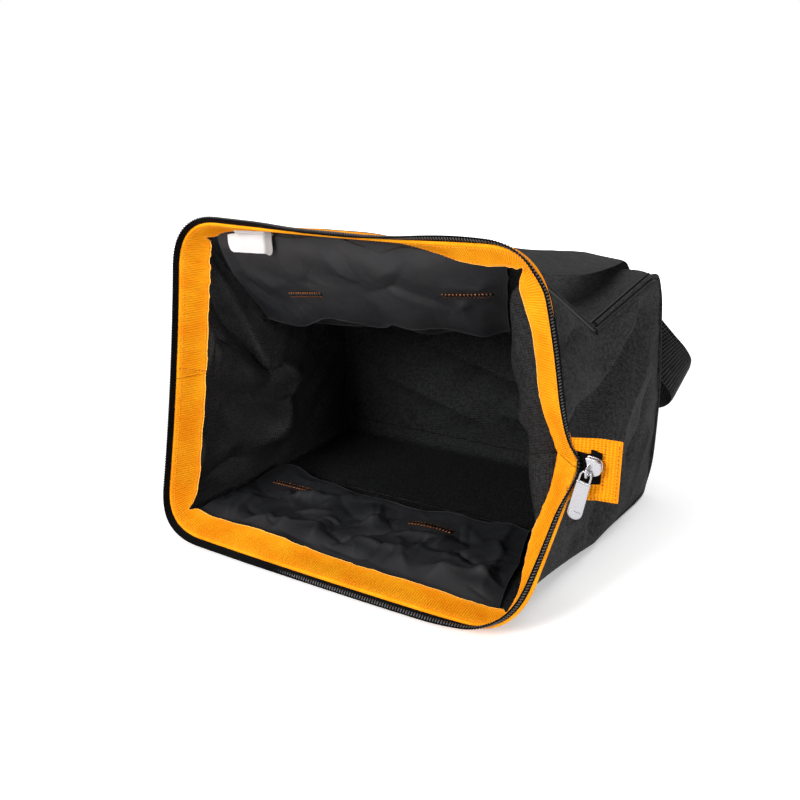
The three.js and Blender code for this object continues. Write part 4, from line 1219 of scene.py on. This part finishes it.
def pipings():
    """Corded seams: along each end panel's upper corner, down the base's edge and along its lower corner, where
    the cord thins under the bag."""
    outset = PIPING_R - PIPING_SUNK
    for name, (side, upper, lower) in PIPINGS.items():
        shares = PIPING_SHARES if side == LEFT else PIPING_SHARES[::-1]
        edge = wall(side, shares, np.full(len(shares), 5.0))
        edge = edge + unit(OUTWARD[side] * EDGE_LEAN + AXIS_Y) * outset
        down, back = piping_corner(side, TOP, upper), piping_corner(side, BOTTOM, lower)[::-1]
        path, _ = spline(np.concatenate([down, edge, back]), PIPING_STEPS)
        first, count, share = PIPING_THINS
        thin = (1 - share * smooth((np.arange(PIPING_STEPS) - first) / count))[:, None, None]
        middle = path[:, None] - unit(OUTWARD[side] + OUTWARD[BOTTOM]) * (1 - thin) * outset
        rings = middle + (sweep(path, PIPING_R) - path[:, None]) * thin
        tubes(name + "_cord", [rings], OXFORD, nodes=[name], slot="polyester")


# Handles

# The upper handle's free route: middle of the band, direction of its width
UPPER_ROUTE = [
    ((-93, 68, 255), (1.0, 0.0, 0.0)), ((-92, 61, 262), (0.99, -0.08, -0.1)),
    ((-88, 66, 266), (0.97, -0.15, -0.15)), ((-76, 86, 259), (0.92, -0.22, -0.28)),
    ((-54, 130, 244), (0.88, -0.24, -0.42)), ((-40, 185, 233), (0.90, -0.2, -0.38)),
    ((-34, 235, 226), (0.96, -0.14, -0.2)), ((-34, 262, 221), (0.99, -0.05, -0.05)),
    ((-34, 279, 208), (0.99, 0.0, 0.1)), ((-32, 286, 194), (0.95, 0.0, 0.3)),
    ((-22, 288, 176), (0.82, 0.0, 0.57)), ((-4, 289, 157), (0.74, 0.0, 0.67)),
    ((16, 291, 136), (0.70, 0.0, 0.71)), ((29, 295, 121), (0.55, 0.05, 0.84)),
    ((36, 301, 107), (0.38, 0.1, 0.92)), ((30, 313, 93), (0.30, 0.1, 0.95)),
    ((8, 319, 84), (0.1, 0.1, 0.99)), ((-60, 308, 92), (-0.3, 0.1, 0.95)),
    ((-120, 296, 150), (-0.75, 0.0, 0.66)), ((-160, 288, 205), (-0.95, 0.0, 0.3)),
    ((-176, 270, 223), (-1.0, -0.2, 0.0)), ((-196, 215, 215), (-1.0, -0.2, 0.0)),
    ((-226, 160, 206), (-1.0, -0.1, 0.0)), ((-236, 108, 224), (-1.0, 0.0, 0.0)),
    ((-238, 76, 251), (-1.0, 0.0, 0.0)), ((-238, 66, 261), (-1.0, 0.0, 0.0)),
]
# The handles' sewn ends: levels, shares along the upper and lower sides, and gaps to the wall
ANCHOR_LEVELS = np.array([2.9, 2.66, 2.33])
UPPER_ANCHORS = (0.27, 0.76)
LOWER_ANCHORS = (0.60, 0.15)
UPPER_CLEAR = 1.7
LOWER_CLEAR = 1.0
# The lower handle under the bag, the start and length of its turn on edge, and where its half circle begins
UNDER_Y = np.array([165, 185, 215, 245, 270, 280.0])
TURN_FROM = 285
TURN_LENGTH = 90
BOW_FROM = 400
BOW_RISE = 0.15
GROUND_GAP = 0.1


def anchor(side, share, turn, clear):
    """A handle's sewn end: three stations flat on the outside of a flap, from the seam's side to the rim's."""
    half = WEBBING_WIDTH / 2 / SIDE_LENGTH[side]
    first, last = (wall(side, np.full(3, share + way * half), ANCHOR_LEVELS) for way in (-1, 1))
    across = unit(last - first)
    across = across * turn * np.sign(across[:, :1])
    normal = np.cross(across, unit(np.gradient(first, axis=0)))
    normal = normal * np.sign((normal * OUTWARD[side]).sum(1, keepdims=True))
    return (first + last) / 2 + normal * (clear + WEBBING_THICK / 2), across


def lower_route(x_right, x_left):
    """Flat under the bag, turning on edge behind the base, a half circle, and back the same way."""
    flat, tall = WEBBING_THICK / 2 + GROUND_GAP, WEBBING_WIDTH / 2
    t = np.linspace(0, 1, 9)
    tilt = np.concatenate([0 * UNDER_Y, smooth(t) * math.pi / 2])
    y = np.concatenate([UNDER_Y, TURN_FROM + TURN_LENGTH * t])
    lift = np.concatenate([0 * UNDER_Y, BOW_RISE + 0.5 * np.sqrt(np.sin(math.pi * t))])
    z = tall * np.sin(tilt) + flat * np.cos(tilt) + lift
    out = np.stack([np.full(len(y), x_right), y, z], 1)
    out_across = np.stack([np.cos(tilt), 0 * tilt, np.sin(tilt)], 1)
    arc = np.linspace(0, math.pi, 9)
    radius = (x_right - x_left) / 2
    bow_x, bow_y = x_left + radius + radius * np.cos(arc), BOW_FROM + radius * np.sin(arc)
    bow = np.stack([bow_x, bow_y, 0 * arc + tall + BOW_RISE], 1)
    bow_across = np.broadcast_to(np.array([0, 0, 1.0]), bow.shape)
    back = out[::-1] * [0, 1, 1] + [x_left, 0, 0]
    back_across = out_across[::-1] * [-1, 1, 1]
    return np.concatenate([out, bow, back]), np.concatenate([out_across, bow_across, back_across])


def band(name, middle, across, count):
    """Webbing: a flat band with rounded edges along a smooth route, its width following given directions."""
    path, index = spline(middle, count)
    wide = unit(np.stack([np.interp(index, np.arange(len(across)), across[:, axis]) for axis in range(3)], 1))
    up = unit(np.cross(unit(np.gradient(path, axis=0)), wide))
    x = np.linspace(-1, 1, 15)[:, None, None]
    half = up * (WEBBING_THICK / 2 * np.clip(1 - np.abs(x) ** 12, 0.12, 1))
    centre = path + wide * x * WEBBING_WIDTH / 2
    shell(name + "_webbing", centre + half, centre - half, WEBBING, nodes=[name], slot="webbing")


def handles():
    """Two loops of webbing: the upper one folded back over the bag, the lower one flat under it."""
    first, first_across = anchor(TOP, UPPER_ANCHORS[0], 1, UPPER_CLEAR)
    last, last_across = anchor(TOP, UPPER_ANCHORS[1], -1, UPPER_CLEAR)
    route, turns = np.array(UPPER_ROUTE, float).transpose(1, 0, 2)
    band("upper_handle", np.concatenate([first, route, last[::-1]]),
         np.concatenate([first_across, turns, last_across[::-1]]), 520)
    first, first_across = anchor(BOTTOM, LOWER_ANCHORS[0], 1, LOWER_CLEAR)
    last, last_across = anchor(BOTTOM, LOWER_ANCHORS[1], -1, LOWER_CLEAR)
    ends = wall(BOTTOM, np.array(LOWER_ANCHORS), np.full(2, ANCHOR_LEVELS[0]))
    route, turns = lower_route(*ends[:, 0])
    band("lower_handle", np.concatenate([first[::-1], route, last]),
         np.concatenate([first_across[::-1], turns, last_across]), 420)


# Zip end, slider, puller and tab

# The closed end of the zip, drawn larger than it is so that its black tape fills the tab's window as painted
# shade: outline in x and z, front and back
END_AND_SHADE_OUTLINE = [(25, 114), (42.5, 118), (42.5, 141), (25, 146)]
END_DEPTHS = (28.0, 29.2)
# The tab's two layers of tape: outline in x and z with the window at the slider, front and back
TAB_LAYERS = [
    ([(20, 103), (41, 104), (55.8, 105), (55.6, 152), (41, 151.4), (20, 151),
      (20, 143), (30, 140), (41, 138), (41, 121), (33, 116), (20, 114)], (30, 31.1)),
    ([(21, 103.8), (41, 104.6), (55.4, 105.6), (55.4, 151.4), (41, 150.6), (21, 150.2),
      (21, 144), (31, 141), (42, 139), (42, 120), (34, 115.2), (21, 113.4)], (31.25, 32.4)),
]
# The tab's arms bend forward below this x, by a share of the distance
TAB_BEND = 38.0
TAB_BEND_SHARE = 0.4
# Rows of stitches down the tab: places in x, heights, depth
TAB_ROWS = (44.0, 53.6)
TAB_STITCH_Z = np.arange(108, 149, 3.0)
TAB_STITCH_Y = 29.8
# The slider's middle and front, its outline about its middle, and its plates and core behind its front
SLIDER_AT = (38.0, 22.0, 132.0)
SLIDER_OUTLINE = np.array([
    (-6, -7.2), (2.4, -6.2), (6, -3.8), (6, 3.8), (2.4, 6.2), (-6, 7.2), (-4.2, 1.5), (-4.2, -1.5),
])
SLIDER_PLATES = [(0, 1.8), (4.2, 6)]
SLIDER_CORE = (1.6, 4.4)
# The hinge that the puller hangs on; the crown's arch over it as depth and height; its wire's radius
HINGE = np.array([35.0, 19.9, 129.0])
CROWN_ARCH = np.array([
    (23.2, -3.4), (19.6, -3.4), (17.9, -2.7), (17.4, -1.2), (17.4, 1.2), (17.9, 2.7), (19.6, 3.4), (23.2, 3.4),
])
CROWN_R = 0.95
# The puller, hanging from the origin before it leans: half of its eye from the foot to the top, its wire's radius
EYE_HALF = np.array([(3.9, -9), (3.9, -5), (3.7, -2.2), (2.6, -0.4), (1.2, 0)])
EYE_R = 0.75
# Its cross bar: half length, height, radius
BAR = (5.2, -8.6, 1.15)
# Its plate: half width at the top and below, top, middle of the round end, half thickness
PLATE_HALVES = (5.0, 5.5)
PLATE_TOP = -8.5
PLATE_ROUND = -33.0
PLATE_HALF_THICK = 0.85
# The raised end on the plate: half width, middle of its round, top, front and back
RAISED_HALF = 4.4
RAISED_ROUND = -33.2
RAISED_TOP = -31.5
RAISED_DEPTHS = (-1.35, -0.5)
LEAN = 0.2


def zip_end():
    """The closed zip beyond the slider, drawn larger so that its black tape also fills the tab's window as
    painted shade, the folded orange tab round it and rows of stitches down the tab.
    """
    # Partly painted shade: the black zip end is larger than the real one so that it fills the tab's window
    tubes("zip_end_tape_and_shade", [plate_rings(soften(END_AND_SHADE_OUTLINE, 1), *END_DEPTHS, 0.3)], ZIP_CLOTH, nodes=["zip_end"],
          slot="zip")
    layers = [plate_rings(soften(outline, 1.0), *depths, 0.4) for outline, depths in TAB_LAYERS]
    for layer in layers:
        layer[..., 1] -= TAB_BEND_SHARE * np.maximum(TAB_BEND - layer[..., 0], 0)
    tubes("zip_end_tab_tape", layers, TAB_ORANGE, nodes=["zip_end_tab"], slot="orange_tape")
    x, z = (grid.ravel() for grid in np.meshgrid(TAB_ROWS, TAB_STITCH_Z, indexing="ij"))
    rows = np.stack([x, np.full(len(x), TAB_STITCH_Y), z], 1)
    stitches("zip_end_tab_stitches", rows, (0, 0, 1.0), -AXIS_Y, 2.2, 0.4, DARK_ORANGE_THREAD, "orange_tape")


def slider():
    """Two waisted plates on a core, and a crown arched over the puller's wire."""
    x, front, z = SLIDER_AT
    body = soften(SLIDER_OUTLINE, 2.0) + [x, z]
    core = soften(SLIDER_OUTLINE * [0.75, 0.6], 1.5) + [x + 0.5, z]
    rings = [plate_rings(body, front + near, front + far, 0.6) for near, far in SLIDER_PLATES]
    rings.append(plate_rings(core, front + SLIDER_CORE[0], front + SLIDER_CORE[1], 0.2))
    depth, height = CROWN_ARCH.T
    arch, _ = spline(np.stack([np.full(len(depth), HINGE[0]), depth, height + HINGE[2]], 1), 40)
    rings.append(sweep(arch, CROWN_R, 12))
    tubes("zip_slider_metal", rings, METAL, nodes=["zip_slider"], slot="metal")


def round_end(half, middle):
    """Points round the lower half of a circle, from left to right."""
    turn = np.linspace(0, math.pi, 13)
    return np.stack([-half * np.cos(turn), middle - half * np.sin(turn)], 1)


def puller():
    """A wire eye under the crown, a cross bar and a plain plate with a rounded, raised end, hanging with a
    lean."""
    x, z = np.concatenate([EYE_HALF * [-1, 1], EYE_HALF[::-1]]).T
    eye, _ = spline(np.stack([x, 0 * x, z], 1), 60)
    top, wide = PLATE_HALVES
    plate = np.concatenate([[(-top, PLATE_TOP)], round_end(wide, PLATE_ROUND), [(top, PLATE_TOP)]])
    end = np.concatenate([round_end(RAISED_HALF, RAISED_ROUND),
                          [(RAISED_HALF, RAISED_TOP), (-RAISED_HALF, RAISED_TOP)]])
    half, height, radius = BAR
    bar_x = np.linspace(-half, half, 10)
    bar = np.stack([bar_x, 0 * bar_x, 0 * bar_x + height], 1)
    sets = [
        sweep(eye, EYE_R, 10),
        plate_rings(soften(plate, 0.8, 3), -PLATE_HALF_THICK, PLATE_HALF_THICK, 0.45),
        plate_rings(soften(end, 0.8, 3), *RAISED_DEPTHS, 0.4),
        sweep(bar, radius, 12),
    ]
    cos, sin = math.cos(LEAN), math.sin(LEAN)
    leaning = np.array([(cos, 0, sin), (0, 1, 0), (-sin, 0, cos)])
    tubes("zip_puller_metal", [rings @ leaning.T + HINGE for rings in sets], METAL, nodes=["zip_puller"],
          slot="metal", body="zip_pull")


# Bar tacks and label

TACK_STITCHES = 14
# Distance of the two rows from the tack's middle, and how far it stands off the lining
TACK_HALF = 2.2
TACK_LIFT = 0.9
# The label: share of the upper side at its right and left edge, how far each drifts down it, and its notch
LABEL_RIGHT = (0.753, 0.006)
LABEL_LEFT = (0.872, 0.02)
LABEL_NOTCH = (0.03, 0.3, 0.08)
# Its first level and its height in levels, and the radius of its lower corners as a share of the side
LABEL_LEVELS = (0.95, 0.7)
LABEL_CORNER = 0.017
LABEL_THICK = 0.5
LABEL_GAP = 1.6
LABEL_CURL = 2.0
# How far its top is tucked forward under the tape
LABEL_TUCK = 4


def lining_spot(side, seed, s, v):
    """Points on a lining's inner face, with the directions down and out of it."""
    reach_s, reach_v = 0.002, 0.008
    ahead = lining_face(side, seed, s + reach_s, v) - lining_face(side, seed, s - reach_s, v)
    down = lining_face(side, seed, s, v + reach_v) - lining_face(side, seed, s, v - reach_v)
    return lining_face(side, seed, s, v), unit(down), -unit(np.cross(down, ahead))


def bar_tacks():
    """Each tack is two straight rows of orange stitches on a black bar of thread, bowed where the lining
    bulges."""
    t = np.linspace(0, 1, TACK_STITCHES)
    for number, (side, seed, first, last) in enumerate(TACKS):
        s, v = np.array([first, last, np.mean([first, last], axis=0)]).T
        (start_at, end_at, middle), down, inward = lining_spot(side, seed, s, v)
        down, inward = unit(down[:2].mean(0)), inward[:2].mean(0)
        sag = (middle - (start_at + end_at) / 2) @ inward
        inward = unit(inward)
        lift = LINING + TACK_LIFT + np.maximum(sag, 0) * 4 * t * (1 - t)
        bar = start_at + (end_at - start_at) * t[:, None] + inward * lift[:, None]
        rows = np.concatenate([bar + down * TACK_HALF, bar - down * TACK_HALF])
        slant = unit(end_at - start_at) + down * 0.3
        stitches("bar_tack_%d" % number, rows, slant, inward, 2.1, 0.5, ORANGE_THREAD, "nylon")
        stitches("bar_%d" % number, bar - inward * 0.25, down, inward, 4.4, 1.3, BLACK_THREAD_AND_SHADE, "nylon")


def label():
    """A small bare woven label hanging from the tape's edge, its right part curled off the lining."""
    side, _, seed = LININGS["upper_lining"]
    r, t = np.meshgrid(np.linspace(0, 1, 60), np.linspace(0, 1, 36))
    notch, notch_at, notch_length = LABEL_NOTCH
    right = LABEL_RIGHT[0] + LABEL_RIGHT[1] * t
    left = LABEL_LEFT[0] + LABEL_LEFT[1] * t + notch * smooth((t - notch_at) / notch_length)
    rounding = LABEL_CORNER * (1 - np.sqrt(1 - np.clip((t - 0.66) / 0.34, 0, 1) ** 2 * 0.999))
    s = right + rounding + (left - right - 2 * rounding) * r
    v = LABEL_LEVELS[0] + LABEL_LEVELS[1] * t
    at, _, inward = lining_spot(side, seed, s, v)
    curl = LABEL_CURL * smooth((0.25 - r) / 0.25) ** 2 * smooth(t * 1.4)
    tuck = LABEL_TUCK * smooth((1.25 - v) / 0.25)
    outer = at + inward * (LINING + LABEL_GAP + curl)[..., None] - AXIS_Y * tuck[..., None]
    shell("label_satin", outer, outer + inward * LABEL_THICK, SATIN, nodes=["label"], slot="label")


# Seams on the outside of the right end

# Levels of the V-shaped seam's front leg and of the piping beside the box
LEG = np.linspace(1.25, 3.02, 60)
BOX = np.linspace(3.03, 3.97, 50)
LEG_CORD_R = 2.1
LEG_CORD_OUT = 0.9
# Black lines of painted shadow in the ditches beside the two, and cloth folds: side, share, levels, height above
# the wall, radius
SEAM_SHADOWS = [(TOP, 0.011, LEG, 0.5, 1.1), (RIGHT, 0.983, LEG, 0.5, 1.2), (TOP, 0.012, BOX, 0.5, 1.2),
           (RIGHT, 0.982, BOX, 0.5, 1.2)]
SEAM_FOLDS = [(RIGHT, 0.967, BOX, 0.2, 2.0), (TOP, 0.022, LEG, 0.2, 1.9)]


def beside_seam(side, share, levels, out, radius):
    """A round line along the wall at one share of a side."""
    return sweep(wall(side, np.full(len(levels), share), levels) + OUTWARD[side] * out, radius)


def seam_lines():
    """The V-shaped seam of the right end: a flat cord down its front leg, black tubes of painted shadow in the
    ditches beside it and beside the piping, and the folded edges of the cloth."""
    cord = wall(TOP, 0 * LEG, LEG) + unit(OUTWARD[RIGHT] + OUTWARD[TOP]) * LEG_CORD_OUT
    tubes("right_seam_cord", [sweep(cord, LEG_CORD_R)], OXFORD, slot="polyester")
    # Painted shadow: black tubes along the seams' ditches
    tubes("seam_painted_shadows", [beside_seam(*row) for row in SEAM_SHADOWS], BLACK_THREAD_AND_SHADE, slot="polyester")
    tubes("seam_folds", [beside_seam(*row) for row in SEAM_FOLDS], OXFORD, slot="polyester")


stage()
cloth_walls()
base_wall()
linings()
mouth()
pipings()
handles()
zip_end()
slider()
puller()
bar_tacks()
label()
seam_lines()
